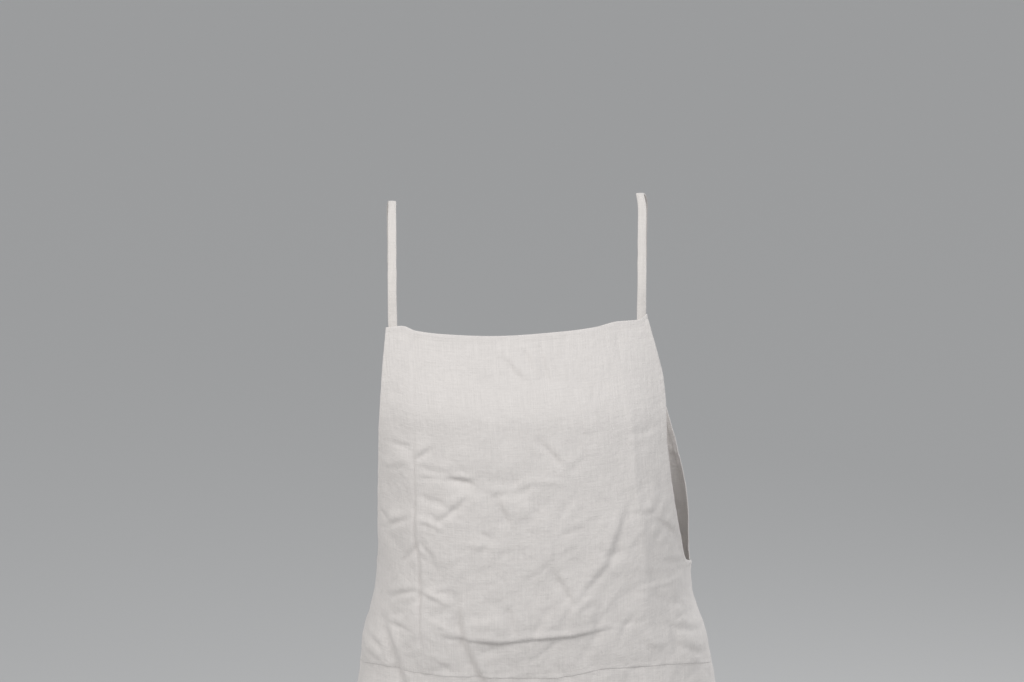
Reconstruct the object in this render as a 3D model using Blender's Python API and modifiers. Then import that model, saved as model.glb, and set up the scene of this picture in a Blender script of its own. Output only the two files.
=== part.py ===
"""Tank dress in washed linen, hanging as it is worn.

Units are metres, +Z is up, the front faces -Y and +X is to the right of someone who faces the front.
The origin is midway between the crests of the two shoulder straps, where a wearer's shoulders hold the dress,
so heights are negative almost everywhere: they are measured down from the crests.

The dress is four panels and two straps. Each panel is a wall on a hollow form, which is a stack of rounded
sections. A reach says how far round a section a point lies, in degrees: 0 is the middle of the front or the
back, -90 the side seam at -X and 90 the side seam at +X.
"""

import math
from collections import namedtuple

import bmesh
import bpy
from mathutils import Vector

# Driving dimensions
WALL = 0.0014
SEAM_GAP = 0.0003
STRAP_WIDTH = 0.0085
STRAP_THICKNESS = 0.0018
STRAP_CLEARANCE = 0.0005
STRAP_TUCK = 0.013
STRAP_HALF_SPAN = 0.1245
STRAP_CREST_TILT = 0.004
UNDERARM_HEIGHT = -0.374
HEM_HEIGHT = -0.93
SECTION_ROUNDNESS = 2.5
EDGE_STRIP = 0.012

# Grid of each panel: columns across, the same above and below the drop seam, and rows in the bands down it
COLUMNS = 32
NECK_BAND_ROWS = 12
BACK_NECK_BAND_ROWS = 9
UNDERARM_BAND_ROWS = 6
WAIST_BAND_ROWS = 6
UNDERARM_BAND_TOP = -0.330
UNDERARM_BAND_BOTTOM = -0.382
SKIRT_ROWS = 14

# The hollow form that the cloth hangs on: at each height, where its two sides and its front and back lie
Section = namedtuple("Section", "height left right front back")
SECTIONS = [
    Section(-0.100, -0.183, 0.187, 0.088, 0.086),
    Section(-0.160, -0.176, 0.186, 0.106, 0.096),
    Section(-0.212, -0.165, 0.184, 0.119, 0.096),
    Section(-0.310, -0.1465, 0.1815, 0.1175, 0.087),
    Section(-0.372, -0.1420, 0.1785, 0.1130, 0.081),
    Section(-0.405, -0.1450, 0.1810, 0.1105, 0.082),
    Section(-0.425, -0.1490, 0.1860, 0.1090, 0.086),
    Section(-0.445, -0.1552, 0.1935, 0.1060, 0.090),
    Section(-0.485, -0.1605, 0.2015, 0.1010, 0.098),
    Section(-0.580, -0.1770, 0.2190, 0.109, 0.122),
    Section(-0.700, -0.1930, 0.2370, 0.123, 0.136),
    Section(-0.930, -0.2210, 0.2660, 0.148, 0.158),
]

# How far round the armhole edges lie. Both panels come to the side seam at the underarm.
Edge = namedtuple("Edge", "height left right")
FRONT_EDGES = [
    Edge(-0.100, -43.8, 42.8),
    Edge(-0.120, -45.7, 45.0),
    Edge(-0.146, -48.0, 48.4),
    Edge(-0.171, -50.5, 51.3),
    Edge(-0.196, -54.0, 52.7),
    Edge(-0.226, -58.4, 53.3),
    Edge(-0.252, -62.4, 54.8),
    Edge(-0.280, -67.5, 57.1),
    Edge(-0.312, -72.6, 61.1),
    Edge(-0.337, -76.0, 66.1),
    Edge(-0.362, -82.0, 73.0),
    Edge(-0.374, -90.0, 90.0),
]
BACK_EDGES = [
    Edge(-0.150, -49.6, 45.4),
    Edge(-0.170, -51.2, 47.0),
    Edge(-0.205, -55.5, 53.0),
    Edge(-0.256, -63.5, 63.0),
    Edge(-0.280, -67.5, 68.2),
    Edge(-0.312, -72.5, 76.0),
    Edge(-0.337, -77.0, 81.5),
    Edge(-0.362, -83.0, 85.0),
    Edge(-0.374, -90.0, 90.0),
]

# The cut edges across each panel: the height at each place from side to side
Level = namedtuple("Level", "x height")
FRONT_NECKLINE = [
    Level(-0.130, -0.1195),
    Level(-0.110, -0.1170),
    Level(-0.095, -0.1210),
    Level(-0.060, -0.1237),
    Level(-0.025, -0.1245),
    Level(0.035, -0.1207),
    Level(0.070, -0.1167),
    Level(0.095, -0.1118),
    Level(0.117, -0.1112),
    Level(0.130, -0.1060),
]
BACK_NECKLINE = [
    Level(-0.135, -0.1650),
    Level(-0.100, -0.1690),
    Level(0.000, -0.1750),
    Level(0.100, -0.1680),
    Level(0.135, -0.1610),
]

# The drop seam runs level at the sides and is lifted a little by what fills the front
Rise = namedtuple("Rise", "reach height")
DROP_SEAM = [
    Rise(-90, -0.4815),
    Rise(-60, -0.4705),
    Rise(-30, -0.4730),
    Rise(5, -0.4727),
    Rise(25, -0.4625),
    Rise(45, -0.4635),
    Rise(90, -0.4815),
]
BACK_DROP_SEAM = [
    Rise(-90, -0.4815),
    Rise(-45, -0.4760),
    Rise(0, -0.4740),
    Rise(45, -0.4760),
    Rise(90, -0.4815),
]

# The largest folds of the bodice: soft lines with a depth (outwards is positive) and a half width
Fold = namedtuple("Fold", "start_x start_height end_x end_height depth half_width")
FRONT_FOLDS = [
    Fold(-0.103, -0.150, -0.097, -0.440, 0.0022, 0.010),
    Fold(0.112, -0.150, 0.130, -0.450, 0.0020, 0.012),
    Fold(-0.063, -0.264, 0.018, -0.272, -0.0028, 0.012),
    Fold(-0.068, -0.415, 0.088, -0.407, 0.0022, 0.011),
    Fold(0.108, -0.300, 0.050, -0.410, 0.0030, 0.013),
    Fold(-0.058, -0.400, -0.038, -0.462, -0.0028, 0.012),
    Fold(-0.132, -0.260, -0.104, -0.246, 0.0026, 0.011),
    Fold(-0.132, -0.318, -0.080, -0.312, 0.0024, 0.012),
]
BACK_FOLDS = [
    Fold(-0.098, -0.200, -0.095, -0.440, 0.0022, 0.011),
    Fold(0.112, -0.200, 0.124, -0.440, 0.0020, 0.012),
    Fold(-0.090, -0.395, 0.070, -0.415, -0.0036, 0.013),
    Fold(-0.050, -0.330, 0.085, -0.350, -0.0028, 0.013),
    Fold(0.030, -0.240, 0.100, -0.300, 0.0026, 0.013),
]

# The skirt's soft flares: ridges that grow from nothing at the drop seam to their depth at the hem
Flare = namedtuple("Flare", "reach depth half_width")
FRONT_FLARES = [
    Flare(-66, 0.014, 10),
    Flare(-36, 0.018, 12),
    Flare(-6, 0.012, 9),
    Flare(21, 0.017, 12),
    Flare(47, 0.013, 9),
    Flare(71, 0.015, 9),
]
BACK_FLARES = [
    Flare(-69, 0.015, 9),
    Flare(-42, 0.013, 10),
    Flare(-13, 0.019, 12),
    Flare(17, 0.013, 10),
    Flare(44, 0.018, 12),
    Flare(70, 0.013, 9),
]
FLARE_GROWTH = 1.25
FLARE_SIDE_FADE = 14.0
FOLD_EDGE_FADE = 0.016
FOLD_END_SHARE = 0.2

# The straps' way over the shoulders, between the two panels: depth and height of each point
Station = namedtuple("Station", "depth height")
STRAP_ROUTE = [
    Station(-0.0700, -0.078),
    Station(-0.0520, -0.040),
    Station(-0.0280, -0.0115),
    Station(0.0000, 0.0000),
    Station(0.0300, -0.0120),
    Station(0.0580, -0.0450),
    Station(0.0740, -0.0900),
    Station(0.0775, -0.1300),
]
STRAP_FRONT_X = {"left": -0.1235, "right": 0.1238}
STRAP_BACK_X = {"left": -0.1285, "right": 0.1310}
STRAP_STATION_STEPS = 4
STRAP_TUCK_STEPS = 3
STRAP_LEVELLING = 0.5


def smooth_slopes(knots, values):
    """Slopes at the knots of a smooth line through the values that doesn't overshoot between them."""
    runs = [b - a for a, b in zip(knots, knots[1:])]
    grades = [(q - p) / run for p, q, run in zip(values, values[1:], runs)]
    slopes = [grades[0]]
    for before, after, run_before, run_after in zip(grades, grades[1:], runs, runs[1:]):
        if before * after <= 0:
            slopes.append(0.0)
            continue
        weight_before = 2 * run_after + run_before
        weight_after = run_after + 2 * run_before
        slopes.append((weight_before + weight_after) / (weight_before / before + weight_after / after))
    slopes.append(grades[-1])
    return slopes


def smooth_value(knots, values, at):
    """Value at a place on the smooth line, held level past its two ends."""
    if at <= knots[0]:
        return values[0]
    if at >= knots[-1]:
        return values[-1]
    slopes = smooth_slopes(knots, values)
    index = max(i for i, knot in enumerate(knots) if knot <= at)
    run = knots[index + 1] - knots[index]
    t = (at - knots[index]) / run
    rise = values[index + 1] - values[index]
    start_bend = slopes[index] * run
    end_bend = slopes[index + 1] * run
    curve = (1 - t) * start_bend - t * end_bend + (2 * t - 1) * rise
    return values[index] + t * rise + t * (1 - t) * curve


def table_value(rows, key, column, at):
    """Value of a named column of a table at a place between its rows."""
    ordered = sorted(rows, key=lambda row: getattr(row, key))
    knots = [getattr(row, key) for row in ordered]
    values = [getattr(row, column) for row in ordered]
    return smooth_value(knots, values, at)


def soft_step(t):
    """Rises from 0 to 1 as t goes from 0 to 1, level at both ends."""
    t = min(1.0, max(0.0, t))
    return t * t * (3 - 2 * t)


def form_point(reach, height, side):
    """Point of the hollow form. side is front or back."""
    left = table_value(SECTIONS, "height", "left", height)
    right = table_value(SECTIONS, "height", "right", height)
    depth = table_value(SECTIONS, "height", side, height)
    across = math.sin(math.radians(reach))
    inward = (1 - min(1.0, abs(across)) ** SECTION_ROUNDNESS) ** (1 / SECTION_ROUNDNESS)
    x = (left + right) / 2 + (right - left) / 2 * across
    y = max(depth * inward, SEAM_GAP / 2)
    return Vector((x, -y if side == "front" else y, height))


def form_normal(reach, height, side):
    """Direction that points out of the form."""
    step_reach = 0.5
    step_height = 0.002
    around = form_point(reach + step_reach, height, side) - form_point(reach - step_reach, height, side)
    upward = form_point(reach, height + step_height, side) - form_point(reach, height - step_height, side)
    normal = around.cross(upward).normalized()
    return normal if side == "front" else -normal


def reach_of(x, height):
    """How far round the form a place x lies."""
    left = table_value(SECTIONS, "height", "left", height)
    right = table_value(SECTIONS, "height", "right", height)
    share = (x - (left + right) / 2) / ((right - left) / 2)
    return math.degrees(math.asin(max(-1.0, min(1.0, share))))


def fold_offset(point, folds):
    """How far the folds move a point of the bodice outwards."""
    total = 0.0
    for fold in folds:
        start = Vector((fold.start_x, fold.start_height))
        along = Vector((fold.end_x, fold.end_height)) - start
        place = Vector((point.x, point.z)) - start
        share = place.dot(along) / along.length_squared
        nearest = min(1.0, max(0.0, share))
        gap = (place - along * nearest).length
        start_fade = soft_step(share / FOLD_END_SHARE + FOLD_END_SHARE)
        end_fade = soft_step((1 - share) / FOLD_END_SHARE + FOLD_END_SHARE)
        total += fold.depth * start_fade * end_fade * math.exp(-((gap / fold.half_width) ** 2))
    return total


def flare_offset(reach, height, seam_height, flares):
    """How far the flares move a point of the skirt outwards."""
    drop = max(0.0, (seam_height - height) / (seam_height - HEM_HEIGHT))
    side_fade = soft_step((90 - abs(reach)) / FLARE_SIDE_FADE)
    ridges = sum(f.depth * math.exp(-(((reach - f.reach) / f.half_width) ** 2)) for f in flares)
    mean_ridge = sum(f.depth for f in flares) / len(flares) / 2
    return (ridges - mean_ridge) * drop**FLARE_GROWTH * side_fade


def strip_share(index, count):
    """Share of the way across for a grid column, with a narrow strip along each edge."""
    if index == 0:
        return 0.0
    if index == count:
        return 1.0
    return EDGE_STRIP + (1 - 2 * EDGE_STRIP) * (index - 1) / (count - 2)


def band_height(index, top, bottom, neck_rows):
    """Height of a bodice row: rows are close together round the curve of the armhole's foot."""
    if index <= neck_rows:
        return top + (UNDERARM_BAND_TOP - top) * index / neck_rows
    index -= neck_rows
    if index <= UNDERARM_BAND_ROWS:
        share = index / UNDERARM_BAND_ROWS
        return UNDERARM_BAND_TOP + (UNDERARM_BAND_BOTTOM - UNDERARM_BAND_TOP) * share
    share = (index - UNDERARM_BAND_ROWS) / WAIST_BAND_ROWS
    return UNDERARM_BAND_BOTTOM + (bottom - UNDERARM_BAND_BOTTOM) * share


def edge_reach(edges, column, height):
    """Reach of a panel's edge: the armhole above the underarm, and the side seam below it."""
    if height <= UNDERARM_HEIGHT:
        return -90.0 if column == "left" else 90.0
    return table_value(edges, "height", column, height)


def bodice_point(column, row, side):
    """Point of a bodice panel's outer face for a column and a row of its grid."""
    is_front = side == "front"
    edges = FRONT_EDGES if is_front else BACK_EDGES
    neckline = FRONT_NECKLINE if is_front else BACK_NECKLINE
    drop_seam = DROP_SEAM if is_front else BACK_DROP_SEAM
    folds = FRONT_FOLDS if is_front else BACK_FOLDS
    neck_rows = NECK_BAND_ROWS if is_front else BACK_NECK_BAND_ROWS
    share = strip_share(column, COLUMNS)
    top_x = neckline[0].x + (neckline[-1].x - neckline[0].x) * share
    top = table_value(neckline, "x", "height", top_x)
    bottom = table_value(drop_seam, "reach", "height", -90 + 180 * share) + SEAM_GAP / 2
    height = band_height(row, top, bottom, neck_rows)
    left = edge_reach(edges, "left", height)
    right = edge_reach(edges, "right", height)
    reach = left + (right - left) * share
    point = form_point(reach, height, side)
    half_width = (SECTIONS[0].right - SECTIONS[0].left) / 2
    from_edge = min(share, 1 - share) * (right - left) / 90 * half_width
    fade = soft_step(from_edge / FOLD_EDGE_FADE) * soft_step((height - bottom) / FOLD_EDGE_FADE)
    return point + form_normal(reach, height, side) * fold_offset(point, folds) * fade


def skirt_point(column, row, side):
    """Point of a skirt panel's outer face for a column and a row of its grid."""
    is_front = side == "front"
    drop_seam = DROP_SEAM if is_front else BACK_DROP_SEAM
    flares = FRONT_FLARES if is_front else BACK_FLARES
    share = strip_share(column, COLUMNS)
    reach = -90 + 180 * share
    top = table_value(drop_seam, "reach", "height", reach) - SEAM_GAP / 2
    height = top + (HEM_HEIGHT - top) * row / SKIRT_ROWS
    point = form_point(reach, height, side)
    return point + form_normal(reach, height, side) * flare_offset(reach, height, top, flares)


def add_grid(name, collection, material, columns, rows, place, thickness):
    """A grid whose points are put in place one by one, given a wall that grows inwards."""
    mesh = bpy.data.meshes.new(name)
    shape = bmesh.new()
    bmesh.ops.create_grid(shape, x_segments=columns, y_segments=rows, size=1.0)
    for vertex in shape.verts:
        column = round((vertex.co.x + 1) / 2 * columns)
        row = round((1 - vertex.co.y) / 2 * rows)
        vertex.co = place(column, row)
    shape.normal_update()
    shape.to_mesh(mesh)
    shape.free()
    mesh.materials.append(material)
    mesh.shade_smooth()
    panel = bpy.data.objects.new(name, mesh)
    collection.objects.link(panel)
    wall = panel.modifiers.new("wall", "SOLIDIFY")
    wall.thickness = thickness
    wall.offset = -1.0
    wall.use_even_offset = True
    return panel


def flip_faces(panel):
    """Turns a panel's faces over, for a grid that was laid out from the other side."""
    shape = bmesh.new()
    shape.from_mesh(panel.data)
    bmesh.ops.reverse_faces(shape, faces=shape.faces[:])
    shape.to_mesh(panel.data)
    shape.free()


def add_bodice(side, collection, material):
    """The bodice panel of one side, from its neckline to the drop seam."""
    neck_rows = NECK_BAND_ROWS if side == "front" else BACK_NECK_BAND_ROWS
    rows = neck_rows + UNDERARM_BAND_ROWS + WAIST_BAND_ROWS
    panel = add_grid(
        "bodice_" + side,
        collection,
        material,
        COLUMNS,
        rows,
        lambda column, row: bodice_point(column, row, side),
        WALL,
    )
    if side == "back":
        flip_faces(panel)
    return panel


def add_skirt(side, collection, material):
    """The skirt panel of one side, from the drop seam to the hem."""
    panel = add_grid(
        "skirt_" + side,
        collection,
        material,
        COLUMNS,
        SKIRT_ROWS,
        lambda column, row: skirt_point(column, row, side),
        WALL,
    )
    if side == "back":
        flip_faces(panel)
    return panel


def tucked_station(x, height, side):
    """Middle of a strap's outer face where its end lies inside a panel, and its level sideways direction."""
    reach = reach_of(x, height)
    normal = form_normal(reach, height, side)
    middle = form_point(reach, height, side) - normal * (WALL + STRAP_CLEARANCE)
    sideways = Vector((0, 0, 1)).cross(normal).normalized()
    return middle, -sideways if side == "back" else sideways


def strap_stations(which):
    """Middle and sideways direction of each cross-section of a strap, from its front end to its back end."""
    front_x = STRAP_FRONT_X[which]
    back_x = STRAP_BACK_X[which]
    crest_x = -STRAP_HALF_SPAN if which == "left" else STRAP_HALF_SPAN
    crest_height = -STRAP_CREST_TILT if which == "left" else STRAP_CREST_TILT
    front_edge = table_value(FRONT_NECKLINE, "x", "height", front_x)
    back_edge = table_value(BACK_NECKLINE, "x", "height", back_x)
    tuck_drops = [STRAP_TUCK * step / STRAP_TUCK_STEPS for step in range(STRAP_TUCK_STEPS + 1)]
    stations = [tucked_station(front_x, front_edge - drop, "front") for drop in reversed(tuck_drops)]
    back_end = [tucked_station(back_x, back_edge - drop, "back") for drop in tuck_drops]
    front_sideways = stations[-1][1]
    back_sideways = back_end[0][1]
    knots = [stations[0][0], stations[-1][0]]
    route_start = STRAP_ROUTE[0].depth
    route_run = STRAP_ROUTE[-1].depth - route_start
    for station in STRAP_ROUTE:
        x = front_x + (back_x - front_x) * soft_step((station.depth - route_start) / route_run)
        if station.depth == 0:
            x = crest_x
        knots.append(Vector((x, station.depth, station.height + crest_height)))
    knots += [back_end[0][0], back_end[-1][0]]
    free_spans = len(STRAP_ROUTE) + 1
    for span in range(free_spans):
        before, start, end, after = knots[span : span + 4]
        for step in range(1 if span == 0 else 0, STRAP_STATION_STEPS):
            t = step / STRAP_STATION_STEPS
            middle = through_points(before, start, end, after, t)
            turn = soft_step((span + t) / free_spans)
            sideways = front_sideways.lerp(back_sideways, turn)
            level = Vector((1, 0, 0))
            calm = math.sin(math.pi * (span + t) / free_spans) ** STRAP_LEVELLING
            stations.append((middle, sideways.lerp(level, calm).normalized()))
    return stations + back_end


def through_points(before, start, end, after, t):
    """Point between start and end on the smooth curve that passes through all four points."""
    first = start * 2
    second = (end - before) * t
    third = (before * 2 - start * 5 + end * 4 - after) * t * t
    fourth = (start * 3 - before - end * 3 + after) * t * t * t
    return (first + second + third + fourth) / 2


def add_strap(which, collection, material):
    """A flat folded strap: a ribbon along its stations, with a wall that grows inwards."""
    stations = strap_stations(which)

    def place(column, row):
        middle, sideways = stations[row]
        return middle + sideways * STRAP_WIDTH * (column / 2 - 0.5)

    strap = add_grid(
        "strap_" + which, collection, material, 2, len(stations) - 1, place, STRAP_THICKNESS
    )
    flip_faces(strap)
    return strap


def add_linen(name, colour, roughness):
    """Matt cloth of one colour."""
    material = bpy.data.materials.new(name)
    material.use_nodes = True
    shader = material.node_tree.nodes["Principled BSDF"]
    shader.inputs["Base Color"].default_value = (*colour, 1.0)
    shader.inputs["Roughness"].default_value = roughness
    shader.inputs["Metallic"].default_value = 0.0
    return material


def main():
    for thing in list(bpy.data.objects):
        bpy.data.objects.remove(thing)
    dress = bpy.data.collections.new("tank_dress")
    bpy.context.scene.collection.children.link(dress)
    linen = (0.640, 0.600, 0.570)
    strap_linen = (0.655, 0.615, 0.580)
    for side in ("front", "back"):
        add_bodice(side, dress, add_linen("bodice_" + side + "_linen", linen, 0.85))
        add_skirt(side, dress, add_linen("skirt_" + side + "_linen", linen, 0.85))
    for which in ("left", "right"):
        add_strap(which, dress, add_linen("strap_" + which + "_linen", strap_linen, 0.85))


main()
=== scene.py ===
# %% [markdown]
# # A tank dress in washed linen
#
# The real dress is six pieces of one cloth: a front and a back bodice, a front and a back skirt, and two
# narrow folded straps. It hangs as it is worn, with nothing inside it. The frame brings rigid walls of the
# right shape and size. They could be given a linen material and left, but a wall of 1.4 mm with 32 columns
# has no soft creases, no turned hems and no stitches. So each panel is made again here as a thin shell on
# the same form, and the walls stay behind for collision.

# %% Load the frame
import math
from collections import namedtuple
from itertools import product

import bpy
import numpy as np
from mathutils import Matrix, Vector


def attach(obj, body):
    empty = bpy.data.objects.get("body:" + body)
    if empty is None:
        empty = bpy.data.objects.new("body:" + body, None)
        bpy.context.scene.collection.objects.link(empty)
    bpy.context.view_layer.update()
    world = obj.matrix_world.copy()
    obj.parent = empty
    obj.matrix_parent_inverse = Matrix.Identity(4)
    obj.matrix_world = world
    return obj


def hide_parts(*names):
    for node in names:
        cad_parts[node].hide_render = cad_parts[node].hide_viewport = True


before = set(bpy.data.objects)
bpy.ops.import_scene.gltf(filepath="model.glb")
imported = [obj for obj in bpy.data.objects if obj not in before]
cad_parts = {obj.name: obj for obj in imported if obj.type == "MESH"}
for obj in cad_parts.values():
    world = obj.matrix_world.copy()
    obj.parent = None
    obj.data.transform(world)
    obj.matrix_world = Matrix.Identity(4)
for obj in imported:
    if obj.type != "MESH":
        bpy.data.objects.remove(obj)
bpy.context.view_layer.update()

print("nodes:", ", ".join(sorted(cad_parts)))

# %% [markdown]
# ## The camera
#
# The photograph is taken from about three metres through a long lens, from above the shoulders and looking
# slightly down. The camera could be set by eye, but one place in metres and one angle keep the strap crests,
# the neckline, the armholes and the drop seam where the photograph has them.

# %% Camera
CAMERA_PLACE = (-0.004, -2.976, 0.4045)
CAMERA_LENS_MM = 105
CAMERA_SENSOR_MM = 36
CAMERA_PITCH_DOWN = 10.5


def add_camera():
    """A camera that looks along +Y, tipped down."""
    lens = bpy.data.cameras.new("camera")
    lens.lens = CAMERA_LENS_MM
    lens.sensor_width = CAMERA_SENSOR_MM
    camera = bpy.data.objects.new("camera", lens)
    camera.location = CAMERA_PLACE
    camera.rotation_euler = (math.radians(90 - CAMERA_PITCH_DOWN), 0, 0)
    bpy.context.scene.collection.objects.link(camera)
    return camera


bpy.context.scene.camera = add_camera()
print("camera", CAMERA_LENS_MM, "mm, at", CAMERA_PLACE)

# %% [markdown]
# ## The form that the cloth hangs on
#
# A pattern cutter thinks of a dress as a tube that changes its girth. Each row of the first table is the
# girth at one height: where the two sides, the front and the back lie. A section is a rounded box, so the
# front stays flat and turns quickly at the sides. The other tables hold the cut edges. Lengths in them are
# in millimetres and angles in degrees. These are the same sizes as in the frame's own source, so a shell
# made from them lies on the walls with no fitting.

# %% Sizes of the dress
SIDES = ("front", "back")
SEAM_GAP = 0.0003
UNDERARM_HEIGHT = -0.374
HEM_HEIGHT = -0.93
SECTION_ROUNDNESS = 2.5


def table(kind, rows, plain=""):
    """Named rows. Lengths are written in millimetres and become metres. Fields named in plain stay."""
    units = [1 if field in plain.split() else 1000 for field in kind._fields]
    return [kind(*(number / unit for number, unit in zip(row, units))) for row in rows]


def both_sides(kind, front, back, plain=""):
    """One table for the front and one for the back."""
    return {"front": table(kind, front, plain), "back": table(kind, back, plain)}


Section = namedtuple("Section", "height left right front back")
SECTIONS = table(Section, [
    (-100, -183, 187, 88, 86),
    (-160, -176, 186, 106, 96),
    (-212, -165, 184, 119, 96),
    (-310, -146.5, 181.5, 117.5, 87),
    (-372, -142, 178.5, 113, 81),
    (-405, -145, 181, 110.5, 82),
    (-425, -149, 186, 109, 86),
    (-445, -155.2, 193.5, 106, 90),
    (-485, -160.5, 201.5, 101, 98),
    (-580, -177, 219, 109, 122),
    (-700, -193, 237, 123, 136),
    (-930, -221, 266, 148, 158),
])

# %% Edges of the armholes, in degrees round the form
Edge = namedtuple("Edge", "height left right")
ARMHOLES = both_sides(
    Edge,
    front=[
        (-100, -43.8, 42.8), (-120, -45.7, 45), (-146, -48, 48.4), (-171, -50.5, 51.3),
        (-196, -54, 52.7), (-226, -58.4, 53.3), (-252, -62.4, 54.8), (-280, -67.5, 57.1),
        (-312, -72.6, 61.1), (-337, -76, 66.1), (-362, -82, 73), (-374, -90, 90),
    ],
    back=[
        (-150, -49.6, 45.4), (-170, -51.2, 47), (-205, -55.5, 53), (-256, -63.5, 63),
        (-280, -67.5, 68.2), (-312, -72.5, 76), (-337, -77, 81.5), (-362, -83, 85),
        (-374, -90, 90),
    ],
    plain="left right",
)

# %% Neckline and drop seam
Level = namedtuple("Level", "x height")
NECKLINE = both_sides(
    Level,
    front=[
        (-130, -119.5), (-110, -117), (-95, -121), (-60, -123.7), (-25, -124.5), (35, -120.7),
        (70, -116.7), (95, -111.8), (117, -111.2), (130, -106),
    ],
    back=[
        (-135, -165), (-100, -169), (0, -175), (100, -168), (135, -161),
    ],
)
Rise = namedtuple("Rise", "reach height")
DROP_SEAM = both_sides(
    Rise,
    front=[
        (-90, -481.5), (-60, -470.5), (-30, -473), (5, -472.7), (25, -462.5), (45, -463.5),
        (90, -481.5),
    ],
    back=[
        (-90, -481.5), (-45, -476), (0, -474), (45, -476), (90, -481.5),
    ],
    plain="reach",
)

# %% [markdown]
# A table gives a value only at its rows. Straight lines between the rows would leave corners in the cloth,
# and a plain spline can swing past the numbers. The line used here keeps its slope between those of its two
# neighbours, so it is smooth and never overshoots.


# %% Smooth lines through a table
def smooth_line(rows, key, column):
    """A function that gives a column's value anywhere along the key column."""
    ordered = sorted(rows, key=lambda row: getattr(row, key))
    knots = np.array([getattr(row, key) for row in ordered], float)
    values = np.array([getattr(row, column) for row in ordered], float)
    runs = np.diff(knots)
    grades = np.diff(values) / runs
    slopes = np.concatenate([grades[:1], np.zeros(len(runs) - 1), grades[-1:]])
    same_way = grades[:-1] * grades[1:] > 0
    weight_before = (2 * runs[1:] + runs[:-1])[same_way]
    weight_after = (runs[1:] + 2 * runs[:-1])[same_way]
    pull_before = weight_before / grades[:-1][same_way]
    pull_after = weight_after / grades[1:][same_way]
    slopes[1:-1][same_way] = (weight_before + weight_after) / (pull_before + pull_after)

    def line(at):
        at = np.clip(at, knots[0], knots[-1])
        index = np.clip(np.searchsorted(knots, at, side="right") - 1, 0, len(runs) - 1)
        run = runs[index]
        t = (at - knots[index]) / run
        rise = values[index + 1] - values[index]
        bend = (1 - t) * slopes[index] * run - t * slopes[index + 1] * run + (2 * t - 1) * rise
        return values[index] + t * rise + t * (1 - t) * bend

    return line


def soft_step(t):
    """Rises from 0 to 1 as t goes from 0 to 1, level at both ends."""
    t = np.clip(t, 0.0, 1.0)
    return t * t * (3 - 2 * t)


left_of = smooth_line(SECTIONS, "height", "left")
right_of = smooth_line(SECTIONS, "height", "right")
depth_of = {side: smooth_line(SECTIONS, "height", side) for side in SIDES}
seam_end = DROP_SEAM["front"][0].height
print("width at the drop seam, mm:", round(float(right_of(seam_end) - left_of(seam_end)) * 1000))

# %% Points and directions of the form
TINY = 1e-12
NORMAL_STEP = 0.0005


def form_points(reach, height, side):
    """Points of the form. Reach is in degrees round it: 0 is the middle, -90 and 90 are the side seams."""
    left = left_of(height)
    right = right_of(height)
    across = np.sin(np.radians(reach))
    inward = np.clip(1 - np.abs(across) ** SECTION_ROUNDNESS, 0, 1) ** (1 / SECTION_ROUNDNESS)
    x = (left + right) / 2 + (right - left) / 2 * across
    y = np.maximum(depth_of[side](height) * inward, SEAM_GAP / 2)
    return np.stack([x, -y if side == "front" else y, height], axis=-1)


def unit(directions):
    """The same directions, each one long."""
    return directions / np.maximum(np.linalg.norm(directions, axis=-1, keepdims=True), TINY)


def form_normals(points, side):
    """Directions that point out of the form: the way in which its rounded sections grow fastest."""
    step = NORMAL_STEP

    def size_at(x, y, height):
        middle = (left_of(height) + right_of(height)) / 2
        half = (right_of(height) - left_of(height)) / 2
        across = np.abs((x - middle) / half) ** SECTION_ROUNDNESS
        return across + np.abs(y / depth_of[side](height)) ** SECTION_ROUNDNESS

    x, y, height = np.moveaxis(points, -1, 0)
    growth = [
        size_at(x + step, y, height) - size_at(x - step, y, height),
        size_at(x, y + step, height) - size_at(x, y - step, height),
        size_at(x, y, height + step) - size_at(x, y, height - step),
    ]
    return unit(np.stack(growth, axis=-1))


# %% [markdown]
# ## Where each panel lies
#
# A panel is a piece of the form between its own edges. Two shares place a point on it: how far across it
# lies, from the edge at -X, and how far down, from the top. With shares a grid of any fineness fits the
# panel, because its first and last lines are the edges themselves.


# %% The bodice as a piece of the form
def bodice_surface(side):
    """A function from shares to points of a bodice panel."""
    neckline = smooth_line(NECKLINE[side], "x", "height")
    seam = smooth_line(DROP_SEAM[side], "reach", "height")
    left_edge = smooth_line(ARMHOLES[side], "height", "left")
    right_edge = smooth_line(ARMHOLES[side], "height", "right")
    first_x = NECKLINE[side][0].x
    last_x = NECKLINE[side][-1].x

    def surface(across, down):
        top = neckline(first_x + (last_x - first_x) * across)
        bottom = seam(-90 + 180 * across) + SEAM_GAP / 2
        height = top + (bottom - top) * down
        left = np.where(height <= UNDERARM_HEIGHT, -90.0, left_edge(height))
        right = np.where(height <= UNDERARM_HEIGHT, 90.0, right_edge(height))
        return form_points(left + (right - left) * across, height, side)

    return surface


# %% [markdown]
# The skirt falls from the seam in soft flares. Each is a ridge at one place round the form, which grows
# from nothing at the drop seam to its depth at the hem. They could come from a cloth simulation, but then
# the shell would leave the walls that collide, so the same few ridges are used in both.

# %% Flares of the skirt
Flare = namedtuple("Flare", "reach depth half_width")
FLARES = both_sides(
    Flare,
    front=[
        (-66, 14, 10), (-36, 18, 12), (-6, 12, 9), (21, 17, 12), (47, 13, 9), (71, 15, 9),
    ],
    back=[
        (-69, 15, 9), (-42, 13, 10), (-13, 19, 12), (17, 13, 10), (44, 18, 12), (70, 13, 9),
    ],
    plain="reach half_width",
)
FLARE_GROWTH = 1.25
FLARE_SIDE_FADE = 14.0


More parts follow.
